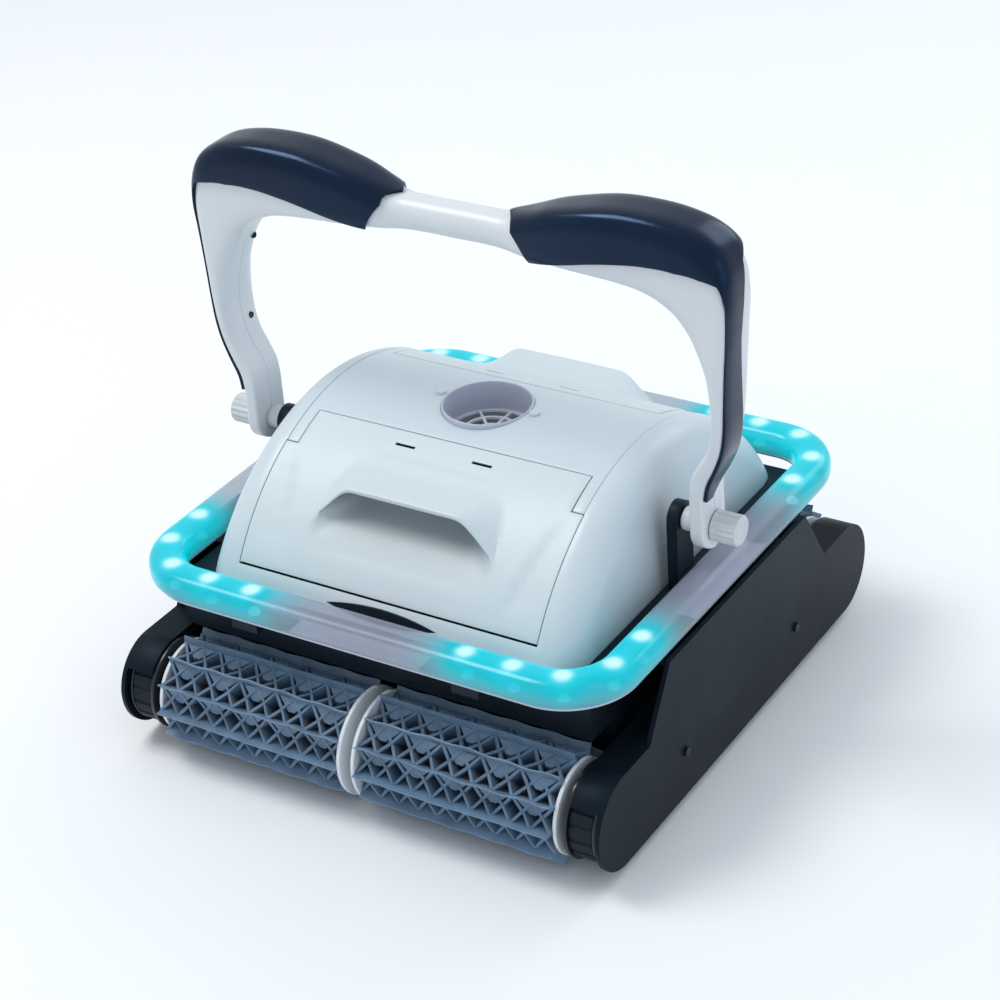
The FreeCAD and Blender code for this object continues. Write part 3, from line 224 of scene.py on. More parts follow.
def lines_group():
    """Lines: even ridges across one direction, worked out as a sine wave, for mesh and brushed metal."""
    tree, given, out = new_group("fine_lines", {"Pitch": ("float", 0.002), "Along X": ("float", 1.0),
                                                "Along Y": ("float", 0.0), "Along Z": ("float", 0.0)},
                                 {"Height": "float"})
    place = tree.nodes.new("ShaderNodeTexCoord").outputs["Object"]
    parts = tree.nodes.new("ShaderNodeSeparateXYZ")
    tree.links.new(place, parts.inputs[0])
    reach = 0.0
    for index, label in enumerate(("Along X", "Along Y", "Along Z")):
        reach = compute(tree, "MULTIPLY_ADD", parts.outputs[index], given.outputs[label], reach)
    phase = compute(tree, "DIVIDE", compute(tree, "MULTIPLY", reach, 2 * math.pi), given.outputs["Pitch"])
    tree.links.new(compute(tree, "SINE", phase), out.inputs["Height"])
    return tree


GRAIN, TINT, SMUDGES, LINES = grain_group(), tint_group(), smudge_group(), lines_group()
print("groups:", [g.name for g in (GRAIN, TINT, SMUDGES, LINES)])

# %% [markdown]
# ## The finishes
# One function turns a few plain values into a finish, so the list below reads like a paint chart: satin
# pale shell, smooth grey handle, near-black grips with a blue gloss, slate blue brush rubber, dark
# chassis plastic, and so on.

# %% A finish from its values
def shade(colour, factor):
    """A colour made lighter or darker by a factor."""
    return tuple(min(1.0, c * factor) for c in colour) + (1.0,)


def place_group(tree, group, values):
    """A group node with its own values set on its sockets."""
    node = tree.nodes.new("ShaderNodeGroup")
    node.node_tree = group
    for label, value in values.items():
        node.inputs[label].default_value = value
    return node


def finish(name, colour, roughness, drift=0.93, edge=1.25, wear=0.25, spread=0.14, grain=900.0, sag=0.25,
           bump=0.05, coat=0.0, metal=0.0, sheen=0.0, lines=None, through=0.0, shine=0.5,
           gloss_tint=(1.0, 1.0, 1.0)):
    """A Principled finish: drifting tint, smudged roughness and moulded grain, and constants for the rest.

    lines, if given, is (pitch, along x, along y, along z, depth) of fine ridges added to the grain.
    """
    material = bpy.data.materials.new(name)
    material.use_nodes = True
    tree = material.node_tree
    shader = tree.nodes["Principled BSDF"]
    shader.inputs["Metallic"].default_value = metal
    shader.inputs["Coat Weight"].default_value = coat
    shader.inputs["Coat Roughness"].default_value = 0.12
    shader.inputs["Sheen Weight"].default_value = sheen
    shader.inputs["Specular IOR Level"].default_value = shine
    shader.inputs["Specular Tint"].default_value = gloss_tint + (1.0,)
    shader.inputs["Subsurface Weight"].default_value = through
    shader.inputs["Subsurface Radius"].default_value = (0.004, 0.004, 0.005)
    tint = place_group(tree, TINT, {"Color": shade(colour, 1.0), "Drift Color": shade(colour, drift),
                                    "Edge Color": shade(colour, edge), "Wear": wear})
    rough = place_group(tree, SMUDGES, {"Roughness": roughness, "Spread": spread})
    height = place_group(tree, GRAIN, {"Scale": grain, "Sag": sag}).outputs["Height"]
    if lines:
        pitch, along_x, along_y, along_z, depth = lines
        ridges = place_group(tree, LINES, {"Pitch": pitch, "Along X": along_x, "Along Y": along_y,
                                           "Along Z": along_z})
        height = compute(tree, "MULTIPLY_ADD", ridges.outputs["Height"], depth, height)
    relief = tree.nodes.new("ShaderNodeBump")
    relief.inputs["Strength"].default_value = bump
    relief.inputs["Distance"].default_value = 0.001
    tree.links.new(height, relief.inputs["Height"])
    tree.links.new(tint.outputs["Color"], shader.inputs["Base Color"])
    tree.links.new(rough.outputs["Roughness"], shader.inputs["Roughness"])
    tree.links.new(relief.outputs["Normal"], shader.inputs["Normal"])
    return material


# %% Finishes that read the surface
def stored(tree, label):
    """The socket that gives back a number stored on the surface under a name."""
    read = tree.nodes.new("ShaderNodeAttribute")
    read.attribute_name = label
    return read.outputs["Fac"]


def tinted_by(material, label, at_zero=None, at_one=None):
    """Mixes a finish's colour with another one, by a number from 0 to 1 stored on the surface."""
    tree = material.node_tree
    target = tree.nodes["Principled BSDF"].inputs["Base Color"]
    share, own = stored(tree, label), target.links[0].from_socket
    tree.links.new(mixed(tree, share, at_zero or own, at_one or own), target)
    return material


# %% The paint chart
SHELL_WHITE = finish("shell_white", (0.58, 0.665, 0.705), 0.38, drift=0.96, wear=0.15, bump=0.02,
                     coat=0.05)
DOOR_WHITE = finish("door_white", (0.595, 0.675, 0.71), 0.42, drift=0.965, wear=0.15, bump=0.03, coat=0.0)
DUCT_LILAC = finish("duct_lilac", (0.50, 0.53, 0.64), 0.38, drift=0.9, bump=0.03)
HANDLE_GREY = finish("handle_grey", (0.68, 0.715, 0.745), 0.36, drift=0.94, wear=0.2, bump=0.05,
                     coat=0.15)
KNOB_WHITE = finish("knob_white", (0.62, 0.66, 0.68), 0.45, drift=0.92, bump=0.06)
GRIP_NAVY = finish("grip_navy", (0.004, 0.010, 0.026), 0.20, drift=0.4, edge=2.2, wear=0.3, spread=0.25,
                   bump=0.04, shine=0.42, gloss_tint=(0.30, 0.55, 1.0))
BRUSH_BLUE = finish("brush_blue", (0.085, 0.145, 0.215), 0.5, drift=0.75, edge=2.4, wear=0.9, bump=0.1,
                    sheen=0.15, through=0.15)
CORE_WHITE = finish("core_white", (0.72, 0.76, 0.80), 0.35, drift=0.93, bump=0.04)
WHEEL_DARK = finish("wheel_dark", (0.010, 0.014, 0.020), 0.22, drift=0.8, edge=3.0, bump=0.04, coat=0.2,
                    shine=0.35)
CHASSIS_DARK = finish("chassis_dark", (0.006, 0.010, 0.016), 0.40, drift=0.75, edge=2.6, wear=0.5,
                      bump=0.08, shine=0.18, gloss_tint=(0.6, 0.8, 1.0))
PANEL_DARK = finish("panel_dark", (0.0045, 0.009, 0.014), 0.42, drift=0.8, edge=2.4, wear=0.5, bump=0.06,
                    shine=0.14, gloss_tint=(0.55, 0.75, 1.0))
BELT_RUBBER = finish("belt_rubber", (0.008, 0.012, 0.016), 0.6, drift=0.7, edge=2.0, wear=0.6, bump=0.3,
                     grain=500.0, shine=0.25, gloss_tint=(0.6, 0.8, 1.0))
FOAM_GREY = finish("foam_grey", (0.30, 0.31, 0.32), 0.9, drift=0.85, bump=0.5, grain=350.0, sheen=0.2)
SEAL_RUBBER = finish("seal_rubber", (0.03, 0.03, 0.032), 0.65, bump=0.15)
SCREW_STEEL = finish("screw_steel", (0.45, 0.46, 0.48), 0.32, metal=1.0, bump=0.1,
                     lines=(0.0006, 1, 1, 0, 0.4))
BLACK_SCREW = finish("black_screw", (0.012, 0.014, 0.018), 0.4, metal=0.3, bump=0.1, shine=0.3)
AXLE_STEEL = finish("axle_steel", (0.55, 0.56, 0.58), 0.28, metal=1.0, bump=0.12,
                    lines=(0.0008, 1, 0, 0, 0.5))
MOTOR_METAL = finish("motor_metal", (0.35, 0.36, 0.38), 0.4, metal=0.9, bump=0.15,
                     lines=(0.003, 1, 0, 0, 1.5))
BOARD_GREEN = finish("board_green", (0.03, 0.16, 0.09), 0.45, drift=0.7, bump=0.15,
                     lines=(0.0025, 1, 1, 0, 0.6))
FILTER_PLASTIC = finish("filter_plastic", (0.25, 0.30, 0.36), 0.5, drift=0.85, bump=0.1)
MESH_FABRIC = finish("mesh_fabric", (0.62, 0.66, 0.68), 0.75, bump=0.6, lines=(0.0014, 1, 1, 1, 2.0),
                     sheen=0.1)
IMPELLER_PLASTIC = finish("impeller_plastic", (0.55, 0.58, 0.62), 0.4, bump=0.05)
GUARD_WHITE = finish("guard_white", (0.74, 0.77, 0.80), 0.38, bump=0.05)
BUSH_PLASTIC = finish("bush_plastic", (0.55, 0.52, 0.42), 0.5, bump=0.05)
STRIP_MILK = finish("strip_milk", (0.50, 0.53, 0.62), 0.4, bump=0.05)
print("finishes:", len(bpy.data.materials))

# %% [markdown]
# ## Surfaces as arrays
# Every new shape below is a grid of points: a function of two parameters, worked out for all points at
# once. These helpers turn such a grid into a mesh, weld its seams, point its faces outwards and give it
# wall thickness.

# %% Helpers for surfaces
def grid_cells(rows, columns, close_rows=False, close_columns=False):
    """Quads of a grid of points numbered row by row; closing joins the last line of points to the first."""
    row = np.arange(rows if close_rows else rows - 1)[:, None]
    column = np.arange(columns if close_columns else columns - 1)[None, :]
    above, right = (row + 1) % rows, (column + 1) % columns
    first, second = row * columns, above * columns
    return np.stack([first + column, first + right, second + right, second + column], -1)


def joined(parts):
    """Several (points, quads) sheets as one, their point numbers shifted to follow each other."""
    points, cells, count = [], [], 0
    for sheet, quads in parts:
        sheet = np.asarray(sheet, float).reshape(-1, 3)
        points.append(sheet)
        cells.append(np.asarray(quads, int).reshape(-1, 4) + count)
        count += len(sheet)
    return np.concatenate(points), np.concatenate(cells)


def make_piece(name, points, cells, material, body, slot, replaces=(), closed=True, centre=None, values=None,
               smooth=40.0, weld=2e-5):
    """A mesh piece from points and quads: doubles welded, faces turned outwards, edges over an angle sharp.

    A closed piece has its normals worked out again. An open one is turned so that it faces away from centre.
    """
    points = np.asarray(points, float).reshape(-1, 3)
    cells = np.asarray(cells, int).reshape(-1, 4)
    mesh = bpy.data.meshes.new(name)
    mesh.from_pydata(points.tolist(), [], cells.tolist())
    for label, numbers in (values or {}).items():
        layer = mesh.attributes.new(label, "FLOAT", "POINT")
        layer.data.foreach_set("value", np.asarray(numbers, np.float32).ravel())
    work = bmesh.new()
    work.from_mesh(mesh)
    bmesh.ops.remove_doubles(work, verts=work.verts, dist=weld)
    bmesh.ops.dissolve_degenerate(work, edges=work.edges, dist=1e-6)
    loose = [v for v in work.verts if not v.link_faces]
    bmesh.ops.delete(work, geom=loose, context="VERTS")
    if closed:
        bmesh.ops.recalc_face_normals(work, faces=work.faces)
    else:
        middle = Vector(centre if centre is not None else points.mean(0))
        work.normal_update()
        facing = sum(f.calc_area() * f.normal.dot(f.calc_center_median() - middle) for f in work.faces)
        if facing < 0:
            bmesh.ops.reverse_faces(work, faces=work.faces)
    work.to_mesh(mesh)
    work.free()
    mesh.shade_smooth()
    mesh.set_sharp_from_angle(angle=math.radians(smooth))
    mesh.materials.append(material)
    piece = bpy.data.objects.new(name, mesh)
    bpy.context.scene.collection.objects.link(piece)
    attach(piece, body)
    if replaces:
        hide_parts(*replaces)
    print(f"{name}: {len(mesh.vertices)} points, {len(mesh.polygons)} faces on {body}")
    return piece


def thicken(piece, wall, edge=0.0005, steps=2, group=None, least=0.3):
    """Wall thickness inwards, then a small rounding on every edge over 35 degrees."""
    solid = piece.modifiers.new("wall", "SOLIDIFY")
    solid.thickness, solid.offset, solid.use_even_offset = wall, -1.0, False
    if group:
        solid.vertex_group, solid.thickness_vertex_group = group, least
    if edge:
        round_edges(piece, edge, steps)
    return piece


def round_edges(piece, width, steps=2, angle=35.0):
    """A Bevel modifier on edges over an angle."""
    bevel = piece.modifiers.new("rounding", "BEVEL")
    bevel.width, bevel.segments, bevel.limit_method = width, steps, "ANGLE"
    bevel.angle_limit = math.radians(angle)
    bevel.use_clamp_overlap = True
    return piece


def lines_between(keys, step):
    """Sorted positions that hit every key and leave no gap wider than step."""
    spans = [np.linspace(a, b, max(2, int(math.ceil((b - a) / step)) + 1))[:-1]
             for a, b in zip(keys, keys[1:])]
    return np.concatenate(spans + [np.array([keys[-1]])])


def signed_power(value, power):
    """A power that keeps the sign: the building block of a superellipse."""
    return np.sign(value) * np.abs(value) ** power

# %% [markdown]
# ## The dome
# The body is a barrel vault across the robot with softly rounded shoulders. One formula serves the shell,
# the bridge over the top and both doors: go along the vault by an angle, then across by a distance that
# bends down a quarter circle at the shoulder and runs down the side wall. Because all four pieces share
# it, their seams line up exactly.

# %% The dome's formula
shell_low, shell_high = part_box("body_shell")
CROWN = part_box("top_bridge")[1].z
DECK = shell_low.z
HALF_FOOT, HALF_LENGTH = shell_high.x, shell_high.y
RISE = CROWN - DECK
VAULT = (HALF_LENGTH ** 2 + RISE ** 2) / (2 * RISE)
VAULT_Z = CROWN - VAULT
SIDE_TAPER = 0.008
SHOULDER = 0.026
WALL = 0.003


def wall_x(z):
    """Half width of the side wall at a height: a straight taper from the foot to the crown."""
    return HALF_FOOT - SIDE_TAPER * (z - DECK) / RISE


def flat_half(angle):
    """Half width of the flat top of the rib at an angle along the vault, where the shoulder begins."""
    return wall_x(VAULT_Z + (VAULT - SHOULDER) * np.cos(angle)) - SHOULDER


def dome(across, angle):
    """A point of the dome. across is measured along a rib: flat, a quarter circle, then a wall down.

    The rib is then swung about the vault's axis by the angle."""
    side, run = np.sign(across), np.abs(across)
    flat = flat_half(angle)
    bend = np.clip((run - flat) / SHOULDER, 0.0, math.pi / 2)
    down = np.maximum(run - flat - SHOULDER * math.pi / 2, 0.0)
    radius = VAULT - SHOULDER * (1 - np.cos(bend)) - down
    z = VAULT_Z + radius * np.cos(angle)
    slope = np.where(down > 0, wall_x(z) - flat - SHOULDER, 0.0)
    x = np.minimum(run, flat) + SHOULDER * np.sin(bend) + slope
    return np.stack(np.broadcast_arrays(side * x, radius * np.sin(angle), z), -1)


def along_rib(x, angle):
    """Distance along the rib at which it reaches a given half width, on the flat or early in the shoulder."""
    flat = flat_half(angle)
    past = np.clip((x - flat) / SHOULDER, 0.0, 0.999)
    return np.where(x > flat, flat + SHOULDER * np.arcsin(past), x)


def rib_end(angle):
    """Distance along the rib at which it meets the deck."""
    last = np.minimum((DECK - VAULT_Z) / np.cos(angle), VAULT)
    flat = flat_half(angle)
    bend = np.arccos(np.clip(1 - (VAULT - last) / SHOULDER, 0.0, 1.0))
    long_way = flat + SHOULDER * math.pi / 2 + np.maximum(VAULT - SHOULDER - last, 0.0)
    return np.where(last > VAULT - SHOULDER, flat + SHOULDER * bend, long_way)


def vault_angle(y):
    """Angle along the vault of a point of its crown line at a distance y from the middle."""
    return np.arcsin(np.clip(y / VAULT, -1.0, 1.0))


print("vault radius", round(VAULT, 4), "axis at z", round(VAULT_Z, 4))

# %% [markdown]
# ## Body shell and top bridge
# Both are cut from one grid whose lines lie exactly on the seams. The shell keeps the cells outside the
# doors, and the bridge keeps the strip over the top, where a ring of cells morphs from a square into the
# round outlet.

# %% Body shell
DOOR_NARROW, DOOR_WIDE = 0.124, 0.135
DOOR_TOP, DOOR_STEP, DOOR_FOOT = 0.054, 0.087, 0.163
SEAM = 0.001
HOLE_SQUARE = 0.050
half_rows = lines_between([0.0, HOLE_SQUARE, DOOR_TOP - SEAM, DOOR_STEP - SEAM, DOOR_FOOT + SEAM,
                           HALF_LENGTH - 0.0004, HALF_LENGTH], 0.004)
row_y = np.concatenate([-half_rows[:0:-1], half_rows])
row_angle = vault_angle(row_y)
inner_lines = lines_between([0.0, HOLE_SQUARE, DOOR_NARROW + SEAM, DOOR_WIDE, DOOR_WIDE + SEAM / 2,
                             DOOR_WIDE + SEAM], 0.010)
outer_share = np.linspace(0.0, 1.0, 27)[1:]


def rib_runs(angle):
    """Distances along each rib: fixed x lines out to the seam, then even shares of what is left."""
    fixed = along_rib(inner_lines[None, :], angle[:, None])
    start = fixed[:, -1:]
    rest = start + (rib_end(angle)[:, None] - start) * outer_share[None, :]
    half = np.concatenate([fixed, rest], 1)
    return np.concatenate([-half[:, :0:-1], half], 1)


runs = rib_runs(row_angle)
dome_grid = dome(runs, row_angle[:, None])
dome_cells = grid_cells(*dome_grid.shape[:2])
reach_x = np.concatenate([inner_lines, np.full(len(outer_share), 1.0)])
line_x = np.concatenate([-reach_x[:0:-1], reach_x])
cell_x = np.minimum(np.abs(line_x[:-1]), np.abs(line_x[1:]))[None, :]
cell_far_x = np.maximum(np.abs(line_x[:-1]), np.abs(line_x[1:]))[None, :]
cell_y = np.minimum(np.abs(row_y[:-1]), np.abs(row_y[1:]))[:, None]
cell_far_y = np.maximum(np.abs(row_y[:-1]), np.abs(row_y[1:]))[:, None]
TINY = 1e-6
beside = (cell_x >= DOOR_WIDE + SEAM / 2 - TINY) & (cell_far_y <= DOOR_STEP - SEAM + TINY)
outside = (cell_x >= DOOR_WIDE + SEAM - TINY) | (cell_y >= DOOR_FOOT + SEAM - TINY)
shell_cells = dome_cells[beside | outside]
body_shell = make_piece("dome_shell", dome_grid, shell_cells, SHELL_WHITE, "chassis", "body_white",
                        ["body_shell"], closed=False, centre=(0, 0, 0.1))
thicken(body_shell, WALL, 0.0006)

# %% Top bridge with the outlet's opening
HOLE_RADIUS = 0.0373
over_top = (cell_far_x <= DOOR_WIDE + TINY) & (cell_far_y <= DOOR_STEP - SEAM + TINY)
door_part = (cell_y >= DOOR_TOP - SEAM - TINY) & (cell_far_x <= DOOR_NARROW + SEAM + TINY)
square = (cell_far_x <= HOLE_SQUARE + TINY) & (cell_far_y <= HOLE_SQUARE + TINY)
bridge_cells = dome_cells[over_top & ~door_part & ~square]
square_x = line_x[np.abs(line_x) <= HOLE_SQUARE + TINY]
square_y = row_y[np.abs(row_y) <= HOLE_SQUARE + TINY]
border = np.concatenate([
    np.stack([square_x[:-1], np.full(len(square_x) - 1, square_y[0])], 1),
    np.stack([np.full(len(square_y) - 1, square_x[-1]), square_y[:-1]], 1),
    np.stack([square_x[:0:-1], np.full(len(square_x) - 1, square_y[-1])], 1),
    np.stack([np.full(len(square_y) - 1, square_x[0]), square_y[:0:-1]], 1),
])
bearing = np.arctan2(border[:, 1], border[:, 0])
circle = HOLE_RADIUS * np.stack([np.cos(bearing), np.sin(bearing)], 1)
out_share = np.linspace(0.0, 1.0, 8)[:, None, None]
hole_plan = circle[None] * (1 - out_share) + border[None] * out_share
hole_sheet = dome(hole_plan[..., 0], vault_angle(hole_plan[..., 1]))
hole_cells = grid_cells(len(out_share), len(border), close_columns=True)[..., ::-1]
top_bridge = make_piece("dome_bridge", *joined([(dome_grid, bridge_cells), (hole_sheet, hole_cells)]),
                        SHELL_WHITE, "chassis", "body_white", ["top_bridge"], closed=False,
                        centre=(0, 0, 0.1))
thicken(top_bridge, WALL, 0.0006)

# %% [markdown]
# ## The doors and their hoods
# A door is one sheet. Near its top it follows the dome; then a canopy rises to a lip, folds under itself,
# and drops into a shallow bowl for the fingertips that runs out into the dome again. The sheet is the
# dome's formula blended with that side profile: fully at the middle, and not at all beyond the canopy's
# feet, so its flanks are flat facets. The shadow in the finger hold is partly painted: a depth stored on
# the sheet darkens its colour, because a soft studio fills so shallow a hollow with light.

# %% Hood profile
HOOD_START, LIP_Y, LIP_Z = 0.078, 0.1285, 0.2295
LIP_THICK = 0.0032
BOWL_END = 0.1510
CREASE, CAMBER = 0.0022, 0.0012
UNDER_END, UNDER_DROP = 0.112, 0.0015
SLOT_Y, SLOT_X = (0.066, 0.0685), (0.026, 0.044)


def crown_z(y):
    """Height of the dome's crown line at a distance y from the middle."""
    return VAULT_Z + np.sqrt(VAULT ** 2 - y ** 2)


def hood_rows():
    """Rows of the door from top to foot: their place on the bare dome, and (y, z) on the hood's profile."""
    above = lines_between([DOOR_TOP, *SLOT_Y, HOOD_START], 0.0035)
    top = lines_between([HOOD_START, DOOR_STEP, LIP_Y - LIP_THICK / 2], 0.0035)[1:]
    share = (top - HOOD_START) / (LIP_Y - HOOD_START)
    ease = share ** 2 * (3 - 2 * share)
    top_z = crown_z(top) * (1 - ease) + (crown_z(HOOD_START) + (LIP_Z - crown_z(HOOD_START)) * share) * ease
    turn = np.linspace(math.pi / 2, -math.pi / 2, 7)[1:]
    nose_y = LIP_Y - LIP_THICK / 2 + LIP_THICK / 2 * np.cos(turn)
    nose_z = LIP_Z - LIP_THICK / 2 + LIP_THICK / 2 * np.sin(turn)
    under_y = np.linspace(LIP_Y - LIP_THICK / 2, UNDER_END, 6)[1:]
    under_z = np.full(5, LIP_Z - LIP_THICK) - UNDER_DROP * np.linspace(0, 1, 6)[1:] ** 2
    knots_y = np.array([UNDER_END, 0.1065, 0.106, 0.1120, 0.1210, 0.1310, 0.1390, 0.1460, BOWL_END])
    knots_z = np.array([LIP_Z - LIP_THICK - UNDER_DROP, 0.2215, 0.2130, 0.2052, 0.1995, 0.1945, 0.1893,
                        0.1835, crown_z(BOWL_END)])
    pace = np.concatenate([[0], np.cumsum(np.hypot(np.diff(knots_y), np.diff(knots_z)))])
    reach = np.linspace(0, pace[-1], 25)[1:]
    bowl_y, bowl_z = np.interp(reach, pace, knots_y), np.interp(reach, pace, knots_z)
    for _ in range(3):
        bowl_y[1:-1] = (bowl_y[:-2] + 2 * bowl_y[1:-1] + bowl_y[2:]) / 4
        bowl_z[1:-1] = (bowl_z[:-2] + 2 * bowl_z[1:-1] + bowl_z[2:]) / 4
    below = lines_between([BOWL_END, DOOR_FOOT], 0.004)[1:]
    fold = len(nose_y) + len(under_y) + len(bowl_y)
    bare = np.concatenate([above, top, np.linspace(top[-1], BOWL_END, fold + 1)[1:], below])
    y = np.concatenate([above, top, nose_y, under_y, bowl_y, below])
    z = np.concatenate([crown_z(above), top_z, nose_z, under_z, bowl_z, crown_z(below)])
    return bare, y, z


bare_y, hood_y, hood_z = hood_rows()
lip_row = int(np.argmax(hood_y * (hood_z > LIP_Z - LIP_THICK)))
bowl_row = int(np.searchsorted(bare_y, BOWL_END - TINY))
hood_depth = np.zeros(len(bare_y))
hood_depth[lip_row + 4:bowl_row] = np.linspace(1.0, 0.0, bowl_row - lip_row - 4) ** 0.9
print("door rows:", len(bare_y), "lip at", LIP_Y, LIP_Z)

# %% Door sheet
RIDGE_TOP = 0.060
RIDGE_X = ((0.0, RIDGE_TOP), (HOOD_START, RIDGE_TOP), (LIP_Y, 0.0525), (1.0, 0.0525))
FOOT_X = ((0.0, 0.066), (HOOD_START, 0.066), (LIP_Y, 0.0810), (BOWL_END, 0.0830), (1.0, 0.0830))
FACET_LINES, FLANK_LINES, RIM_LINES = 7, 9, 3
CREASE_Y, CREASE_X, CREASE_END = (DOOR_STEP, 0.152), (0.124, 0.099), 0.157


def door_sheet(end):
    """Points of a door at the front (-1) or rear (+1), and the share of the hood's profile at each.

    Columns keep to the canopy's ridge and foot lines, whose half widths change from row to row."""
    ridge = np.interp(bare_y, *zip(*RIDGE_X))[:, None]
    foot = np.interp(bare_y, *zip(*FOOT_X))[:, None]
    plain = lines_between([0.0, *SLOT_X, RIDGE_TOP], 0.004)
    inner = plain / RIDGE_TOP * ridge
    facet = ridge + (foot - ridge) * np.linspace(0, 1, FACET_LINES + 1)[None, 1:]
    outer = foot + (DOOR_NARROW - foot) * np.linspace(0, 1, FLANK_LINES + 1)[None, 1:]
    rim = np.linspace(DOOR_NARROW, DOOR_WIDE, RIM_LINES + 1)[None, 1:]
    half = np.concatenate([inner, facet, outer, np.broadcast_to(rim, (len(bare_y), RIM_LINES))], 1)
    x = np.concatenate([-half[:, :0:-1], half], 1)
    share = np.clip((foot - np.abs(x)) / (foot - ridge), 0.0, 1.0)
    share = share - 0.06 * np.exp(-((np.abs(x) - ridge) / 0.003) ** 2)
    angle = vault_angle(bare_y)[:, None]
    bare = dome(np.sign(x) * along_rib(np.abs(x), angle), angle)
    on_canopy = ((hood_y > HOOD_START) & (bare_y < LIP_Y))[:, None]
    crowned = hood_z[:, None] + CAMBER * (1 - (x / foot) ** 2) * on_canopy
    folded = np.stack(np.broadcast_arrays(x, hood_y[:, None], crowned), -1)
    points = bare * (1 - share[..., None]) + folded * share[..., None]
    on_dome = (bare_y <= HOOD_START + TINY) | (bare_y >= BOWL_END - TINY)
    points[on_dome] = bare[on_dome]
    fold_x = np.interp(bare_y, CREASE_Y, CREASE_X)[:, None]
    span = np.clip((bare_y - DOOR_STEP) / 0.020, 0, 1) * np.clip((CREASE_END - bare_y) / 0.010, 0, 1)
    beyond = np.clip((np.abs(x) - fold_x) / 0.003, 0, 1)
    beyond = beyond * np.clip((DOOR_WIDE - np.abs(x)) / (DOOR_WIDE - fold_x), 0, 1)
    sink = CREASE * beyond * span[:, None]
    points[..., 1] -= sink * np.sin(angle)
    points[..., 2] -= sink * np.cos(angle)
    points[..., 1] *= end
    half_line = np.concatenate([plain, np.full(FACET_LINES + FLANK_LINES + RIM_LINES, 1.0)])
    x_line = np.concatenate([-half_line[:0:-1], half_line])
    return points, x, share, x_line


def door_cells(x, x_line):
    """Cells of the door: all but the two vent slots and the strips beside its narrow top."""
    rows, columns = x.shape
    low_y, high_y = bare_y[:-1, None], bare_y[1:, None]
    near = np.minimum(np.abs(x_line[:-1]), np.abs(x_line[1:]))[None, :]
    far = np.maximum(np.abs(x_line[:-1]), np.abs(x_line[1:]))[None, :]
    in_slot = (low_y >= SLOT_Y[0] - TINY) & (high_y <= SLOT_Y[1] + TINY) & \
        (near >= SLOT_X[0] - TINY) & (far <= SLOT_X[1] + TINY)
    column = np.arange(columns - 1)
    side_strip = (column < RIM_LINES) | (column >= columns - 1 - RIM_LINES)
    missing = side_strip[None, :] & (high_y <= DOOR_STEP + TINY)
    return grid_cells(rows, columns)[~(in_slot | missing)]


HOLD_SHADOW = (0.05, 0.062, 0.078, 1.0)
hood_paint = tinted_by(DOOR_WHITE, "hood_depth", at_one=HOLD_SHADOW)
for end_name, end, body in (("front", -1.0, "door_front"), ("rear", 1.0, "door_rear")):
    points, x, share, x_line = door_sheet(end)
    door = make_piece(f"door_sheet_{end_name}", points, door_cells(x, x_line), hood_paint, body, "body_white",
                      [f"{end_name}_door"], closed=False, centre=(0, 0, 0.1), smooth=28.0,
                      values={"hood_share": share, "hood_depth": share * hood_depth[:, None]})
    thin = door.vertex_groups.new(name="wall_share")
    layer = np.zeros(len(door.data.vertices), np.float32)
    door.data.attributes["hood_share"].data.foreach_get("value", layer)
    for inside, wall_share in ((True, 0.38), (False, 1.0)):
        thin.add(np.nonzero((layer > 0.05) == inside)[0].tolist(), wall_share, "REPLACE")
    thicken(door, WALL, 0.0006, group="wall_share", least=0.0)

# %% [markdown]
# Between the foot of the dome and the ring, a dark lens-shaped opening shows at the middle of the front
# and the rear. It could be cut through the shell. Here the shade inside it is painted: a thin dark liner,
# a little proud of the dome and following its formula, because the opening is too small to see into. Its
# height falls to nothing at both ends as a parabola.

# %% Openings at the foot
OPENING_HALF, OPENING_RISE, OPENING_Z = 0.050, 0.0052, 0.1510
open_x = np.linspace(-OPENING_HALF, OPENING_HALF, 41)[None, :]
open_z = OPENING_Z + np.linspace(-1, 1, 9)[:, None] * OPENING_RISE * (1 - (open_x / OPENING_HALF) ** 2)
# Painted shade: a dark sheet stands where the opening's shadowed inside would show.
for end_name, end in (("front", -1.0), ("rear", 1.0)):
    reach_y = np.sqrt((VAULT + 0.0003) ** 2 - (open_z - VAULT_Z) ** 2)
    liner = np.stack(np.broadcast_arrays(open_x, end * reach_y, open_z), -1)
    opening = make_piece(f"foot_opening_{end_name}", liner, grid_cells(*liner.shape[:2]), CHASSIS_DARK,
                         "chassis", "chassis_dark", closed=False, centre=(0, 0, 0.1))
    thicken(opening, 0.0012, 0.0)

# %% [markdown]
# ## The outlet
# Pumped water leaves through a round throat in the crown. It is a lathed wall with a soft lip, so it is
# one closed profile turned about the Z axis.

# %% Turned pieces
def turned(profile, about, start, steps=96, ripple=None, loop=True):
    """A profile of (along, radius) pairs turned about an axis through start. about is 0 for X or 2 for Z.

    ripple, if given, is a function of (angle, along) that scales the radius, for flutes and ribs. A profile
    that starts and ends on the axis isn't joined end to start, so loop is off."""
    along, radius = np.array(profile, float).T
    angle = np.linspace(0, 2 * math.pi, steps, endpoint=False)[:, None]
    reach = radius[None, :] * (ripple(angle, along[None, :]) if ripple else np.ones_like(angle))
    flat = [reach * np.cos(angle), reach * np.sin(angle)]
    flat.insert(about, np.broadcast_to(along[None, :], reach.shape))
    return np.stack(flat, -1) + np.array(start, float), grid_cells(steps, len(along), True, loop)


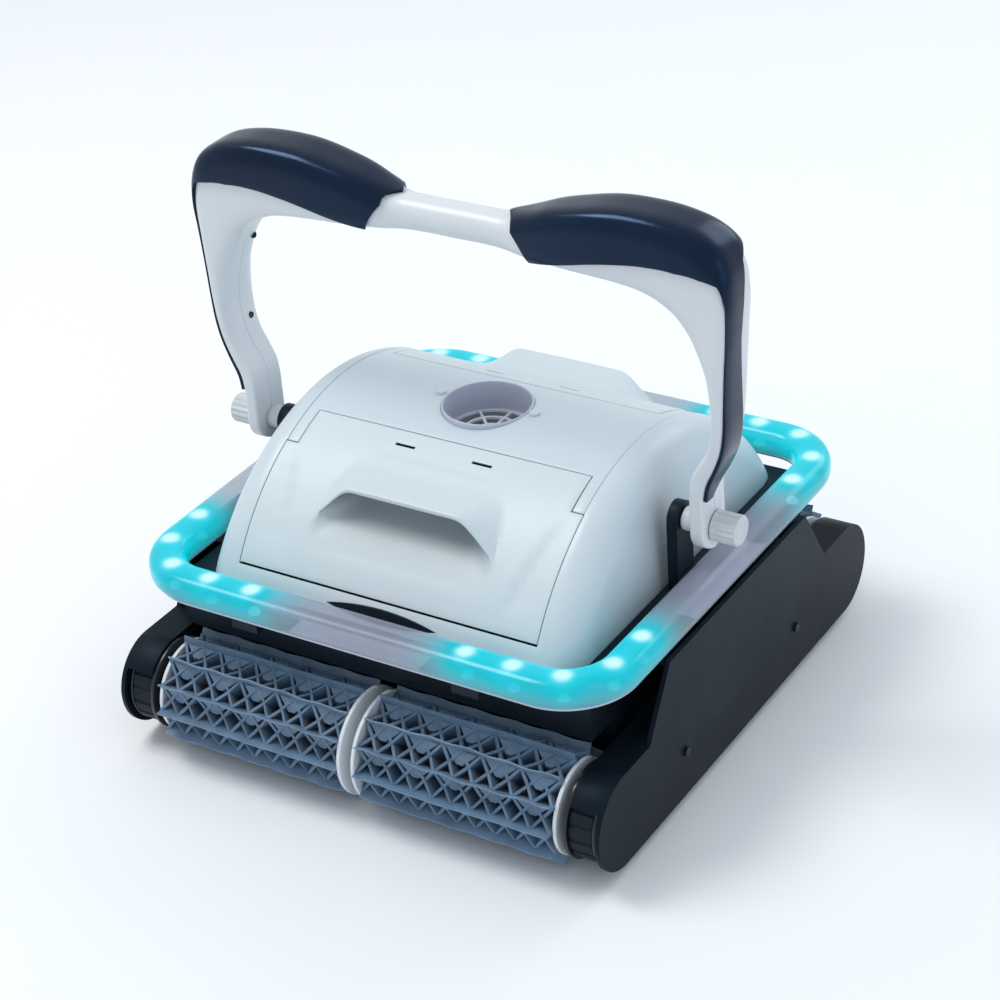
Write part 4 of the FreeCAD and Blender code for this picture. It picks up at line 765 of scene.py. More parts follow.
duct_low, duct_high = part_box("flow_duct")
THROAT, LINER = 0.035, 0.037
throat_profile = [
    (duct_low.z, LINER), (CROWN - 0.004, LINER), (CROWN - 0.0008, LINER + 0.0001),
    (CROWN + 0.0003, LINER - 0.0002), (duct_high.z, LINER - 0.0010), (duct_high.z - 0.0002, LINER - 0.0016),
    (CROWN - 0.0004, THROAT + 0.0001), (CROWN - 0.003, THROAT), (duct_low.z + 0.001, THROAT),
    (duct_low.z, THROAT + 0.0006),
]
make_piece("outlet_throat", *turned(throat_profile, 2, (0, 0, 0)), DUCT_LILAC, "chassis", "pin_white",
           ["flow_duct"], smooth=50.0)

# %% [markdown]
# ## The ring of lights
# A milky bumper tube runs round the body, with five lamps behind each corner. Its section is a
# superellipse carried round a rounded rectangle. The glow is stored on the surface itself: at each point,
# soft bell curves around all the lamps merge into a cyan haze, and a steep step around the nearest lamp
# gives the bright spot. The finish turns both into emitted light.

# %% Ring path and section
ring_low, ring_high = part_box("light_ring")
RING_WIDTH = 0.030
RING_BEND = 0.047
RING_HALF = (ring_high.x - RING_WIDTH / 2, ring_high.y - RING_WIDTH / 2)


def rounded_loop(half, bend, step):
    """Points of a rounded rectangle in plan and the outward direction at each, at most step apart."""
    quarter = np.linspace(0, math.pi / 2, int(math.ceil(bend * math.pi / 2 / step)) + 1)
    spots, outs = [], []
    for index, (side_x, side_y) in enumerate(((1, 1), (-1, 1), (-1, -1), (1, -1))):
        out = np.stack([np.cos(quarter + index * math.pi / 2), np.sin(quarter + index * math.pi / 2)], 1)
        spots.append(np.array([side_x * (half[0] - bend), side_y * (half[1] - bend)]) + bend * out)
        outs.append(out)
    path, facing = [], []
    for index in range(4):
        path.append(spots[index])
        facing.append(outs[index])
        start, end = spots[index][-1], spots[(index + 1) % 4][0]
        share = np.linspace(0, 1, int(math.ceil(np.linalg.norm(end - start) / step)) + 1)[1:-1, None]
        path.append(start + (end - start) * share)
        facing.append(np.broadcast_to(outs[index][-1], (len(share), 2)))
    return np.concatenate(path), np.concatenate(facing)


ring_path, ring_out = rounded_loop(RING_HALF, RING_BEND, 0.0024)
section = np.linspace(0, 2 * math.pi, 44, endpoint=False)
SECTION_POWER = 2 / 2.7
section_out = RING_WIDTH / 2 * signed_power(np.cos(section), SECTION_POWER)
section_up = (ring_high.z - ring_low.z) / 2 * signed_power(np.sin(section), SECTION_POWER)
ring_points = np.zeros((len(ring_path), len(section), 3))
ring_points[..., :2] = ring_path[:, None] + ring_out[:, None] * section_out[None, :, None]
ring_points[..., 2] = (ring_low.z + ring_high.z) / 2 + section_up[None, :]

# %% Lamp places and glow
LAMP_STEP, LAMP_SHIFT = 0.040, 0.016
HAZE_TOP, HAZE_WIDTH = 0.80, 0.030
SPOT_RADIUS, SPOT_SOFT = 0.0068, 0.0011
quarter_half = RING_BEND * math.pi / 4
lamp_run = LAMP_STEP * np.arange(-2, 3) + LAMP_SHIFT


def corner_point(run):
    """A point of the ring's middle line at a distance from the middle of the right rear corner."""
    turn = math.pi / 4 + np.clip(run, -quarter_half, quarter_half) / RING_BEND
    past, short = np.maximum(run - quarter_half, 0), np.minimum(run + quarter_half, 0)
    x = RING_HALF[0] - RING_BEND + RING_BEND * np.cos(turn) - past
    y = RING_HALF[1] - RING_BEND + RING_BEND * np.sin(turn) + short
    return np.stack([x, y], -1)


corner_lamps = corner_point(lamp_run)
lamps = np.concatenate([corner_lamps * np.array([sx, sy]) for sx in (-1, 1) for sy in (-1, 1)])
gap = np.linalg.norm(ring_points[:, :, None, :2] - lamps[None, None], axis=-1)
haze = 1 - np.prod(1 - HAZE_TOP * np.exp(-(gap / HAZE_WIDTH) ** 2), axis=-1)
lift = np.clip((ring_points[..., 2] - ring_low.z) / (ring_high.z - ring_low.z), 0, 1)
haze = haze * (0.40 + 0.60 * np.clip((lift - 0.05) / 0.6, 0, 1))
spot = (1 / (1 + np.exp((gap - SPOT_RADIUS) / SPOT_SOFT))).max(axis=-1) * (lift > 0.5)
print("lamps:", len(lamps), "haze up to", round(float(haze.max()), 2))

# %% Ring finish
def ring_finish():
    """Milky plastic that shows some of the inside, with cyan haze and white spots read from the surface."""
    material = finish("ring_milky", (0.44, 0.48, 0.60), 0.20, drift=0.72, edge=1.5, wear=0.2, bump=0.02,
                      shine=0.35)
    tree = material.node_tree
    shader = tree.nodes["Principled BSDF"]
    haze_share, spot_share = stored(tree, "lamp_haze"), stored(tree, "lamp_spot")
    cyan = mixed(tree, haze_share, (0.0, 0.0, 0.0, 1.0), (0.0, 0.72, 0.82, 1.0))
    glow = mixed(tree, spot_share, cyan, (0.62, 0.98, 1.0, 1.0))
    milk = shader.inputs["Base Color"].links[0].from_socket
    soak = compute(tree, "MULTIPLY", haze_share, 1.5, clamp=True)
    tree.links.new(mixed(tree, soak, milk, (0.0, 0.06, 0.12, 1.0)), shader.inputs["Base Color"])
    tree.links.new(glow, shader.inputs["Emission Color"])
    shader.inputs["Emission Strength"].default_value = 1.0
    see = compute(tree, "MULTIPLY_ADD", haze_share, 0.60, 0.52, clamp=True)
    tree.links.new(see, shader.inputs["Alpha"])
    return material


make_piece("light_tube", ring_points, grid_cells(len(ring_path), len(section), True, True), ring_finish(),
           "chassis", "ring_clear", ["light_ring"], values={"lamp_haze": haze, "lamp_spot": spot},
           smooth=60.0)

# %% [markdown]
# ## The handle
# The handle is a float made as a front and a rear half, each a closed surface here. Its side view is
# given by an outer and an inner line. At each step along it the section is a superellipse between the two
# lines, deep at the arms and slim at the middle of the bar, and it ends in a round eye on each pivot. The
# grips are the same surface a few millimetres further out, between limits that change along the arm: wide
# over the hand holds, and a strip down each arm that ends bluntly above the knob.

# %% Handle lines
pin_low, pin_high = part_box("pivot_pins")
PIVOT_Y, PIVOT_Z = (pin_low.y + pin_high.y) / 2, (pin_low.z + pin_high.z) / 2
EYE = PIVOT_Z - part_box("handle_front_shell")[0].z
# per row: outer x, outer z, inner x, inner z, half depth, squareness, from the middle of the bar to the foot
HANDLE_ROWS = np.array([
    (0.0, 226.0, 0.0, 199.0, 14.5, 2.2), (30.0, 226.0, 30.0, 199.0, 14.5, 2.2),
    (48.0, 226.5, 46.0, 198.5, 15.5, 2.4), (64.0, 231.0, 60.0, 197.5, 18.0, 3.0),
    (84.0, 238.0, 78.0, 196.8, 20.5, 3.6), (106.0, 243.5, 98.0, 196.0, 22.0, 4.0),
    (132.0, 248.5, 120.0, 195.3, 23.0, 4.2), (160.0, 250.0, 142.0, 193.8, 23.0, 4.2),
    (188.0, 248.0, 162.0, 191.0, 23.0, 4.2), (211.0, 242.0, 178.0, 185.0, 23.0, 4.2),
    (226.0, 232.0, 191.0, 176.0, 23.0, 4.2), (234.0, 217.0, 201.0, 163.0, 23.0, 4.0),
    (236.5, 197.0, 208.0, 148.0, 23.0, 3.8), (235.5, 172.0, 213.0, 132.0, 23.0, 3.1),
    (233.0, 142.0, 216.5, 115.0, 22.5, 3.2), (231.0, 112.0, 217.8, 98.0, 22.0, 3.3),
    (229.3, 90.0, 216.3, 84.0, 21.0, 3.4), (226.0, 72.0, 211.5, 69.0, 20.0, 3.6),
    (220.0, 56.0, 204.0, 56.0, 19.4, 4.0), (213.5, 42.0, 199.0, 45.0, 19.0, 4.6),
    (211.0, 30.0, 198.0, 32.0, 19.0, 5.5), (211.0, 16.0, 198.0, 16.0, 19.0, 6.0),
    (211.0, 0.0, 198.0, 0.0, 19.0, 6.0),
])
HANDLE_ROWS[:, :5] /= 1000.0
HANDLE_ROWS[:, 1] += PIVOT_Z
HANDLE_ROWS[:, 3] += PIVOT_Z


def smooth_rows(table, count):
    """A table of rows drawn as smooth curves: cubics between rows, evenly spaced along the middle line."""
    middle = (table[:, 0:2] + table[:, 2:4]) / 2
    pace = np.concatenate([[0], np.cumsum(np.linalg.norm(np.diff(middle, axis=0), axis=1))])
    want = np.linspace(0, pace[-1], count)
    span = np.clip(np.searchsorted(pace, want, side="right") - 1, 0, len(pace) - 2)
    t = ((want - pace[span]) / (pace[span + 1] - pace[span]))[:, None]
    slope = np.gradient(table, pace, axis=0)
    length = (pace[span + 1] - pace[span])[:, None]
    a, b = table[span], table[span + 1]
    return ((2 * t ** 3 - 3 * t ** 2 + 1) * a + (t ** 3 - 2 * t ** 2 + t) * length * slope[span]
            + (3 * t ** 2 - 2 * t ** 3) * b + (t ** 3 - t ** 2) * length * slope[span + 1])


def eye_rows(steps=10):
    """Rows of the round eye below the pivot: the half depth follows a circle down to a point."""
    fall = np.linspace(0, math.pi / 2, steps + 1)[1:]
    rows = np.zeros((steps, 6))
    rows[:, 0], rows[:, 2] = HANDLE_ROWS[-1, 0], HANDLE_ROWS[-1, 2]
    rows[:, 1] = rows[:, 3] = PIVOT_Z - EYE * np.sin(fall)
    rows[:, 4] = np.maximum(EYE * np.cos(fall), 0.0002)
    rows[:, 5] = 6.0
    return rows


HALF_COUNT = 120
half_table = np.concatenate([smooth_rows(HANDLE_ROWS, HALF_COUNT), eye_rows()])
mirror_table = half_table[:0:-1].copy()
mirror_table[:, [0, 2]] *= -1
handle_table = np.concatenate([mirror_table, half_table])


def handle_surface(table, turn, out=0.0):
    """Points of the handle: the middle line, plus the half span between the lines times a rounded cosine,
    plus the half depth along Y times a rounded sine. out pushes the surface outwards on all sides."""
    middle = (table[:, 0:2] + table[:, 2:4]) / 2
    span = (table[:, 0:2] - table[:, 2:4]) / 2
    size = np.linalg.norm(span, axis=1, keepdims=True)
    span = span * (1 + out / np.maximum(size, 1e-4))
    power = 2 / table[:, 5][:, None]
    across = signed_power(np.cos(turn), power)
    deep = signed_power(np.sin(turn), power) * (table[:, 4][:, None] + out)
    plane = middle[:, None] + span[:, None] * across[..., None]
    return np.stack([plane[..., 0], PIVOT_Y + deep, plane[..., 1]], -1)


print("handle rows:", len(handle_table), "top", round(float(handle_table[:, 1].max()), 4))

# %% Handle halves
half_turn = np.linspace(0, math.pi, 41)
half_turn = half_turn - 0.35 * np.sin(4 * half_turn) / 4
for side_name, sign, cad_node in (("front", -1.0, "handle_front_shell"), ("rear", 1.0, "handle_rear_shell")):
    turns = np.broadcast_to(sign * half_turn, (len(handle_table), len(half_turn)))
    sheet = handle_surface(handle_table, turns)
    sheet[..., 1] = PIVOT_Y + sign * np.maximum(np.abs(sheet[..., 1] - PIVOT_Y), 0.00012)
    shell = make_piece(f"handle_half_{side_name}", sheet, grid_cells(*sheet.shape[:2], close_columns=True),
                       HANDLE_GREY, "handle", "handle_grey", [cad_node], smooth=50.0)
    round_edges(shell, 0.0004, 2, 60.0)

# %% [markdown]
# A grip covers the outer face of the handle and part of its front and rear faces. Its edge is drawn with
# one number, the reach: 0 is the middle of the outer face, 1 its corner, and 2 the far corner of the
# front or rear face. Spacing the columns evenly in reach, not in angle, keeps them even on the flat faces
# of a squarish section.

# %% Grips
# per row: outer line x and z over the pivot, reach on the front, reach on the rear
GRIP_LIMITS = np.array([
    (46.0, 226.3, 0.10, 0.10), (53.0, 227.8, 0.85, 0.85), (60.0, 230.0, 1.22, 1.22),
    (69.0, 232.8, 1.60, 1.60), (77.0, 235.6, 1.88, 1.88), (90.0, 239.8, 1.84, 1.84),
    (106.0, 243.5, 1.77, 1.77), (132.0, 248.5, 1.67, 1.67), (160.0, 250.0, 1.58, 1.58),
    (188.0, 248.0, 1.50, 1.48), (211.0, 242.0, 1.40, 1.30), (226.0, 232.0, 1.25, 0.95),
    (234.0, 217.0, 1.08, 0.30), (236.5, 197.0, 1.00, 0.08), (236.0, 180.0, 0.98, 0.02),
    (235.0, 160.0, 0.97, 0.0), (233.0, 142.0, 0.97, 0.12), (231.0, 112.0, 0.96, 0.30),
    (229.3, 90.0, 0.95, 0.42), (227.0, 76.0, 0.94, 0.50), (222.5, 62.0, 0.93, 0.62),
    (216.0, 48.0, 0.92, 0.60), (213.0, 41.0, 0.91, 0.20), (211.0, 32.0, 0.90, -0.35),
])
GRIP_PROUD = 0.003


def turn_at(reach, squareness):
    """Angle of the section at a reach: an arcsine on the outer face and an arccosine past its corner."""
    corner = 0.5 ** (1 / squareness)
    size = np.abs(reach)
    deep = np.arcsin(np.clip(corner * np.minimum(size, 1), 0, 1) ** (squareness / 2))
    across = corner - (1 + corner) * (size - 1)
    past = np.arccos(np.clip(signed_power(across, squareness / 2), -1, 1))
    return np.sign(reach) * np.where(size <= 1, deep, past)


def grip_sheet(sign):
    """Outer sheet of one grip: rows of the handle between the grip's ends, columns between its two limits."""
    spots = GRIP_LIMITS[:, :2] / 1000.0 + np.array([0.0, PIVOT_Z])
    near = np.linalg.norm(half_table[:HALF_COUNT, None, 0:2] - spots[None], axis=-1).argmin(0).astype(float)
    near = np.maximum.accumulate(near + np.arange(len(near)) * 1e-3)
    rows = np.arange(int(near[0]), int(near[-1]) + 1, 0.5)
    front, rear = (np.interp(rows, near, GRIP_LIMITS[:, column])[:, None] for column in (2, 3))
    table = np.stack([np.interp(rows, np.arange(len(half_table)), column) for column in half_table.T], 1)
    table[:, [0, 2]] *= sign
    reach = -front + (front + rear) * np.linspace(0, 1, 45)[None, :]
    return handle_surface(table, turn_at(reach, table[:, 5][:, None]), GRIP_PROUD)


for side_name, sign in (("left", -1.0), ("right", 1.0)):
    sheet = grip_sheet(sign)
    grip = make_piece(f"grip_pad_{side_name}", sheet, grid_cells(*sheet.shape[:2]), GRIP_NAVY, "handle",
                      "grip_navy", [f"grip_{side_name}"], closed=False,
                      centre=(sign * 0.13, PIVOT_Y, 0.30), smooth=50.0)
    thicken(grip, GRIP_PROUD + 0.0002, 0.0012, 3)

# %% [markdown]
# The foam that makes the handle float fills the inside of both halves. It is the handle's own surface
# again, a wall's thickness further in, with its two ends drawn together to a point.

# %% Handle foam
FOAM_ROOM, FOAM_COUNT = 0.0036, 96
foam_rows = handle_table[np.abs(np.arange(len(handle_table)) - len(handle_table) // 2) < FOAM_COUNT]
foam_turn = np.linspace(0, 2 * math.pi, 40, endpoint=False)
foam_turns = np.broadcast_to(foam_turn, (len(foam_rows), len(foam_turn)))
foam_sheet = handle_surface(foam_rows, foam_turns, -FOAM_ROOM)
ends = [np.broadcast_to(foam_sheet[row].mean(0), (1,) + foam_sheet.shape[1:]) for row in (0, -1)]
foam_sheet = np.concatenate([ends[0], foam_sheet, ends[1]])
make_piece("handle_float", foam_sheet, grid_cells(*foam_sheet.shape[:2], close_columns=True), FOAM_GREY,
           "handle", "foam_grey", ["handle_foam"])

# %% [markdown]
# ## The handle's pins
# Each pin passes through the upright and the eye of the handle, and ends in a ribbed knob. The ribs are
# part of the turned shape: the knob's radius is scaled by a raised cosine with sixteen waves.

# %% Ribbed knobs
KNOB_START, RIBS, FLUTE = 0.2125, 16, 0.085


def ribbed(angle, along):
    """Radius factor of the pin: one, less a flute between ribs on the knob, fading out at its two ends."""
    where = np.clip((along - KNOB_START) / 0.002, 0, 1) * np.clip((pin_high.x - 0.0008 - along) / 0.001, 0, 1)
    return 1 - FLUTE * where * (0.5 - 0.5 * np.cos(RIBS * angle)) ** 0.7


PIN_INNER, PIN_RADIUS, WASHER_RADIUS = 0.176, 0.006, 0.0095
knob_r = (pin_high.z - pin_low.z) / 2
# per point: distance from the middle plane, radius; the pin, the washer, the pin again, then the knob
knob_profile = [
    (PIN_INNER, 0), (PIN_INNER, 0.0052), (PIN_INNER + 0.0008, PIN_RADIUS), (0.1862, PIN_RADIUS),
    (0.1864, 0.0092), (0.1874, WASHER_RADIUS), (0.1968, WASHER_RADIUS), (0.1976, 0.009),
    (0.1977, PIN_RADIUS), (0.2114, PIN_RADIUS), (0.2116, knob_r - 0.001),
    *[(along, knob_r) for along in (0.2124, 0.2145, 0.2165, 0.2200, 0.2240, 0.2280, 0.2310)],
    (0.2322, knob_r - 0.0002), (0.2331, knob_r - 0.0012), (pin_high.x, knob_r - 0.0028),
    (pin_high.x - 0.0012, knob_r - 0.0045), (pin_high.x - 0.0014, 0),
]
pin_sheets = []
for sign in (-1, 1):
    points, cells = turned(knob_profile, 0, (0, PIVOT_Y, PIVOT_Z), 160, ribbed, loop=False)
    pin_sheets.append((points * np.array([sign, 1, 1]), cells))
make_piece("pivot_knobs", *joined(pin_sheets), KNOB_WHITE, "chassis", "pin_white", ["pivot_pins"],
           smooth=38.0)

# %% [markdown]
# Two screws in the inner face of each arm hold the handle's halves together. Their heads are turned
# shapes with a dished middle, set just into the face.

# %% Handle screws
HEAD_RADIUS, HEAD_BACK = 0.0027, 0.010
HEAD_HEIGHTS = (0.0840, 0.1578)
head_profile = [(0.0020, 0), (0.0020, HEAD_RADIUS), (-0.0006, HEAD_RADIUS),
                (-0.0010, HEAD_RADIUS - 0.0004), (-0.0010, 0.0013), (0.0002, 0.0010), (0.0002, 0)]
heads = []
for above_pivot in HEAD_HEIGHTS:
    face_x = np.interp(above_pivot, HANDLE_ROWS[::-1, 3] - PIVOT_Z, HANDLE_ROWS[::-1, 2])
    place = np.array([face_x, PIVOT_Y + HEAD_BACK, PIVOT_Z + above_pivot])
    for sign in (-1, 1):
        points, cells = turned(head_profile, 0, (0, 0, 0), 24, loop=False)
        heads.append(((points + place) * np.array([sign, 1, 1]), cells))
make_piece("handle_screws", *joined(heads), BLACK_SCREW, "handle", "screw_steel", smooth=30.0)

# %% [markdown]
# ## The brushes
# Each roller carries a moulded sleeve of soft rubber: long fins run its whole length, and thin walls
# cross between them as a lattice that leaves deep pockets. Fins, walls and the wedges beside them are
# thin closed boxes placed in cylinder coordinates. The distance from the axis is stored on the surface,
# so the finish can paint shade into the pockets: the rubber's colour darkens towards the axis.

# %% Helpers for the sleeve
BOX_FACES = np.array([(0, 1, 2, 3), (7, 6, 5, 4), (0, 4, 5, 1), (1, 5, 6, 2), (2, 6, 7, 3), (3, 7, 4, 0)])


def boxes(corners):
    """Closed boxes from an array of eight corners each: four below, then the four above them."""
    shift = 8 * np.arange(len(corners))[:, None, None]
    return corners.reshape(-1, 3), (BOX_FACES[None] + shift).reshape(-1, 4)


def fin(foot, tip, half):
    """A thin closed wall between a foot line and a tip line, moved both ways along the wall's own normal,
    thinner at the tip and closed at its two ends."""
    side = np.cross(np.gradient(foot, axis=0), tip - foot)
    side *= half / np.linalg.norm(side, axis=1, keepdims=True)
    points = np.stack([foot - side, tip - 0.55 * side, tip + 0.55 * side, foot + side], 1)
    last = 4 * (len(foot) - 1)
    ends = np.array([(3, 2, 1, 0), (last, last + 1, last + 2, last + 3)])
    return points, np.concatenate([grid_cells(len(foot), 4, close_columns=True).reshape(-1, 4), ends])


def wall_corners(x0, turn0, x1, turn1, low, high0, high1, half):
    """Eight corners of thin walls between two places in a cylinder, as arrays; half is half the thickness."""
    ends = []
    for x, turn, high in ((x0, turn0, high0), (x1, turn1, high1)):
        for radius in (np.broadcast_to(low, np.shape(x)), np.broadcast_to(high, np.shape(x))):
            ends.append(np.stack([x, radius * np.cos(turn), radius * np.sin(turn)], -1))
    low0, top0, low1, top1 = ends
    side = np.cross(low1 - low0, top0 - low0)
    side *= half / np.linalg.norm(side, axis=-1, keepdims=True)
    return np.stack([low0 - side, low0 + side, low1 + side, low1 - side,
                     top0 - side, top0 + side, top1 + side, top1 - side], 1)


# %% Brush sleeves
FINS = 12
PITCH = 2 * math.pi / FINS
BANDS = 5
SLEEVE, FIN_TIP = 0.0218, 0.0473
WEB_TOP, WEB_MID = 0.0420, 0.0380
FIN_HALF, WEB_HALF = 0.0010, 0.0012
# per corner of a wedge: place along its band, and place round the pitch
WEDGE_PLAN = ((-0.40, 0.03), (0.40, 0.03), (0.07, 0.52), (-0.07, 0.52))


def brush_sheets(start, end):
    """Sleeve, fins, crossing walls and wedges of one brush about the X axis, between two places along it."""
    sheets = [turned([(start, SLEEVE - 0.002), (start, SLEEVE), (end, SLEEVE), (end, SLEEVE - 0.002)], 0,
                     (0, 0, 0), 72)]
    along = np.linspace(start, end, 71)
    run = (along - start) / (end - start)
    for index in range(FINS):
        turn = index * PITCH
        bend = 0.014 * np.sin(2 * math.pi * (BANDS * run + 0.5 * index))
        bend += 0.010 * np.sin(9.0 * run + 1.7 * index)
        tip_r = FIN_TIP - 0.0005 - 0.0005 * np.sin(2 * math.pi * BANDS * run + 2.1 * index)
        foot = np.stack([along, SLEEVE * np.cos(turn + 0 * run), SLEEVE * np.sin(turn + 0 * run)], -1)
        tip = np.stack([along, tip_r * np.cos(turn + bend), tip_r * np.sin(turn + bend)], -1)
        sheets.append(fin(foot, tip, FIN_HALF))
    band = (end - start) / BANDS
    order = np.arange(2 * BANDS)
    for index in range(FINS):
        low_turn = index * PITCH
        for flip in (0, 1):
            x0 = start + order * band / 2
            near = (order + index + flip) % 2
            turn0, turn1 = low_turn + near * PITCH, low_turn + (1 - near) * PITCH
            middle_x, middle_turn = x0 + band / 4, np.full(len(order), low_turn + PITCH / 2)
            for a_x, a_turn, a_top, b_x, b_turn, b_top in (
                    (x0, turn0, WEB_TOP, middle_x, middle_turn, WEB_MID),
                    (middle_x, middle_turn, WEB_MID, x0 + band / 2, turn1, WEB_TOP)):
                sheets.append(boxes(wall_corners(a_x, a_turn, b_x, b_turn, SLEEVE - 0.0005,
                                                 a_top - 0.0008 * flip, b_top, WEB_HALF)))
        centre = start + (np.arange(BANDS) + 0.5) * band
        corners = np.zeros((BANDS, 8, 3))
        for level, radius, slope in ((0, SLEEVE - 0.0005, 0.0), (4, WEB_TOP - 0.0012, 0.0036)):
            for number, (offset, reach) in enumerate(WEDGE_PLAN):
                turn = low_turn + reach * PITCH
                height = radius - slope * (reach > 0.2)
                corners[:, level + number, 0] = np.clip(centre + offset * band, start, end)
                corners[:, level + number, 1] = height * np.cos(turn)
                corners[:, level + number, 2] = height * np.sin(turn)
        sheets.append(boxes(corners))
    return sheets


# Painted shade: the brush rubber turns darker towards the axis, deep in the pockets between the fins.
POCKET_SHADOW = (0.008, 0.020, 0.052, 1.0)
rubber = tinted_by(BRUSH_BLUE, "axis_distance", at_zero=POCKET_SHADOW)
for end_name in ("front", "rear"):
    for side_name, sign in (("left", -1), ("right", 1)):
        brush_low, brush_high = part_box(f"brush_{end_name}_{side_name}")
        wheel_low, wheel_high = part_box(f"wheel_{end_name}_{side_name}")
        near, far = sorted((abs(brush_low.x), abs(brush_high.x)))
        points, cells = joined(brush_sheets(near, far))
        distance = np.clip((np.hypot(points[:, 1], points[:, 2]) - 0.026) / (FIN_TIP - 0.030), 0, 1)
        points[:, 0] *= sign
        points[:, 1] += (wheel_low.y + wheel_high.y) / 2
        points[:, 2] += (wheel_low.z + wheel_high.z) / 2
        make_piece(f"brush_sleeve_{end_name}_{side_name}", points, cells, rubber,
                   f"roller_{end_name}_{side_name}", "brush_blue", [f"brush_{end_name}_{side_name}"],
                   values={"axis_distance": distance}, smooth=30.0, weld=1e-7)

# %% [markdown]
# ## The tracks
# A grooved belt goes round the two end wheels of each side, encloses the driver and lies flat on the
# floor. Its path is the tight outline of four circles: the wheels, and two small ones where the flat run
# ends. The outline comes from the support function: in each direction, the circle that reaches furthest
# gives the point.

# %% Belts
BELT_THICK, BELT_EDGE, BELT_WHEEL, BELT_CORNER = 0.004, 0.0006, 0.036, 0.014
FLAT_HALF = 0.150
GROOVES, GROOVE_DEPTH = 80, 0.0012
AXLE_Y, AXLE_Z = (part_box("wheel_rear_left")[0].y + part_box("wheel_rear_left")[1].y) / 2, 0.048
BELT_CIRCLES = np.array([(-AXLE_Y, AXLE_Z, BELT_WHEEL), (AXLE_Y, AXLE_Z, BELT_WHEEL),
                         (-FLAT_HALF, BELT_CORNER, BELT_CORNER), (FLAT_HALF, BELT_CORNER, BELT_CORNER)])


def tight_outline(circles, count):
    """Points spaced evenly round the tight outline of circles, and the outward direction at each."""
    angle = np.linspace(0, 2 * math.pi, 7200, endpoint=False)
    out = np.stack([np.cos(angle), np.sin(angle)], 1)
    furthest = (out @ circles[:, :2].T + circles[:, 2]).argmax(1)
    spots = circles[furthest, :2] + circles[furthest, 2:] * out
    loop = np.concatenate([spots, spots[:1]])
    pace = np.concatenate([[0], np.cumsum(np.linalg.norm(np.diff(loop, axis=0), axis=1))])
    want = np.linspace(0, pace[-1], count, endpoint=False)
    even = np.stack([np.interp(want, pace, loop[:, axis]) for axis in (0, 1)], 1)
    ahead = np.roll(even, -1, 0) - np.roll(even, 1, 0)
    ahead /= np.linalg.norm(ahead, axis=1, keepdims=True)
    return even, np.stack([ahead[:, 1], -ahead[:, 0]], 1)


GROOVE_STEPS, GROOVE_OPEN = 12, 3
outline, outward = tight_outline(BELT_CIRCLES, GROOVES * GROOVE_STEPS)
cut = (np.arange(len(outline)) % GROOVE_STEPS < GROOVE_OPEN) * GROOVE_DEPTH
for side_name, sign in (("left", -1), ("right", 1)):
    belt_low, belt_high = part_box(f"track_belt_{side_name}")
    across = [(belt_low.x, BELT_THICK), (belt_low.x, BELT_EDGE), (belt_low.x + BELT_EDGE, 0.0),
              (belt_high.x - BELT_EDGE, 0.0), (belt_high.x, BELT_EDGE), (belt_high.x, BELT_THICK)]
    strip = np.zeros((len(outline), len(across), 3))
    for number, (x, depth) in enumerate(across):
        inset = depth + (cut if depth < BELT_THICK else 0.0)
        strip[:, number, 0] = x
        strip[:, number, 1:] = outline - outward * np.reshape(inset * np.ones(len(outline)), (-1, 1))
    make_piece(f"track_{side_name}", strip, grid_cells(*strip.shape[:2], True, True), BELT_RUBBER, "chassis",
               "belt_rubber", [f"track_belt_{side_name}"], smooth=30.0, weld=1e-6)

# %% [markdown]
# ## Parts that keep their engineering shape
# The remaining parts are moulded, turned or bent exactly as designed, so they keep their mesh. On those
# that show most, the loose triangles are welded and the sharp edges rounded by about half a millimetre,
# so that they catch the light as real mouldings do. The screws by the outlet take the shell's colour, so
# they don't stand out.

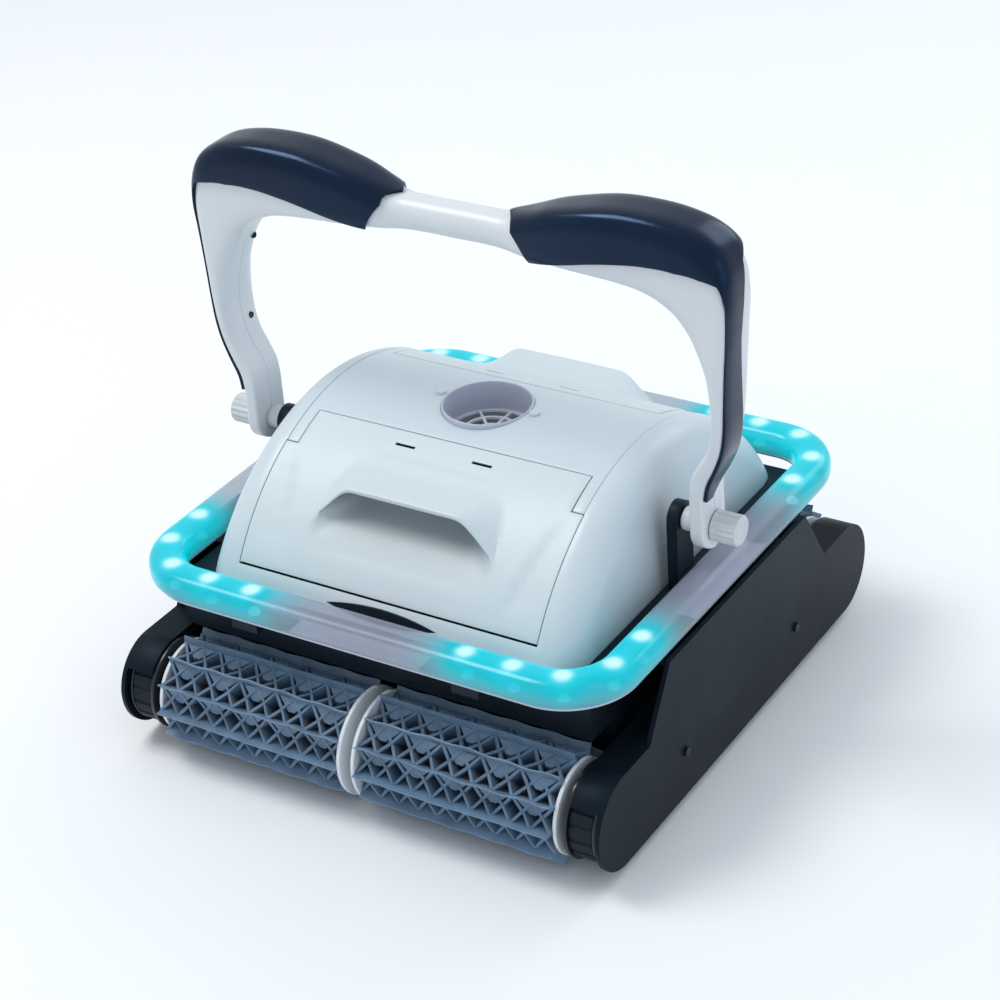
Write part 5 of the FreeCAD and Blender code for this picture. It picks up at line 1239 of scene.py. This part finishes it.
# %% Finishes for the kept parts
def keep(material, names, rounding=0.0):
    """Gives CAD parts a finish, and rounds their edges where rounding is more than nothing."""
    for name in names.split():
        part = nodes[name]
        if not part.material_slots:
            part.data.materials.append(material)
        for place in part.material_slots:
            place.material = material
        if rounding:
            joint = part.modifiers.new("weld", "WELD")
            joint.merge_threshold = 1e-5
            round_edges(part, rounding, 2, 40.0)


lens_glow = finish("lens_glow", (0.35, 0.85, 0.9), 0.2, bump=0.02, coat=0.5)
lens_shader = lens_glow.node_tree.nodes["Principled BSDF"]
lens_shader.inputs["Emission Color"].default_value = (0.25, 0.9, 1.0, 1.0)
lens_shader.inputs["Emission Strength"].default_value = 0.5

keep(PANEL_DARK, "side_panel_left side_panel_right", 0.0007)
keep(CHASSIS_DARK, "side_frame_left side_frame_right pivot_uprights ring_brackets base_cover chassis_tub",
     0.0005)
keep(CHASSIS_DARK, "axle_hangers cable_gland intake_flap_front intake_flap_rear motor_housing")
for end_name in ("front", "rear"):
    for side_name in ("left", "right"):
        keep(CORE_WHITE, f"roller_core_{end_name}_{side_name}", 0.0004)
        keep(WHEEL_DARK, f"wheel_{end_name}_{side_name}", 0.0005)
keep(WHEEL_DARK, "drive_wheel_left drive_wheel_right")
keep(SHELL_WHITE, "shell_screws")
keep(SCREW_STEEL, "hinge_pins")
keep(BLACK_SCREW, "panel_screws")
keep(AXLE_STEEL, "axle_front axle_rear pump_shaft")
keep(MOTOR_METAL, "drive_motors pump_motor")
keep(FOAM_GREY, "float_blocks")
keep(FILTER_PLASTIC, "filter_basket_front filter_basket_rear")
keep(MESH_FABRIC, "filter_meshes")
keep(BOARD_GREEN, "light_boards")
keep(lens_glow, "light_lenses")
keep(STRIP_MILK, "ring_base")
keep(SEAL_RUBBER, "shaft_seal")
keep(IMPELLER_PLASTIC, "impeller")
keep(GUARD_WHITE, "outlet_guard")
keep(BUSH_PLASTIC, "axle_bushes")

# %% Floor
bpy.ops.mesh.primitive_plane_add(size=14.0, location=(0, 0, 0))
floor = bpy.context.object
floor.name = "studio_floor"
floor.data.materials.append(finish("floor_pale", (0.90, 0.915, 0.93), 0.6, drift=0.995, wear=0.0, bump=0.0))
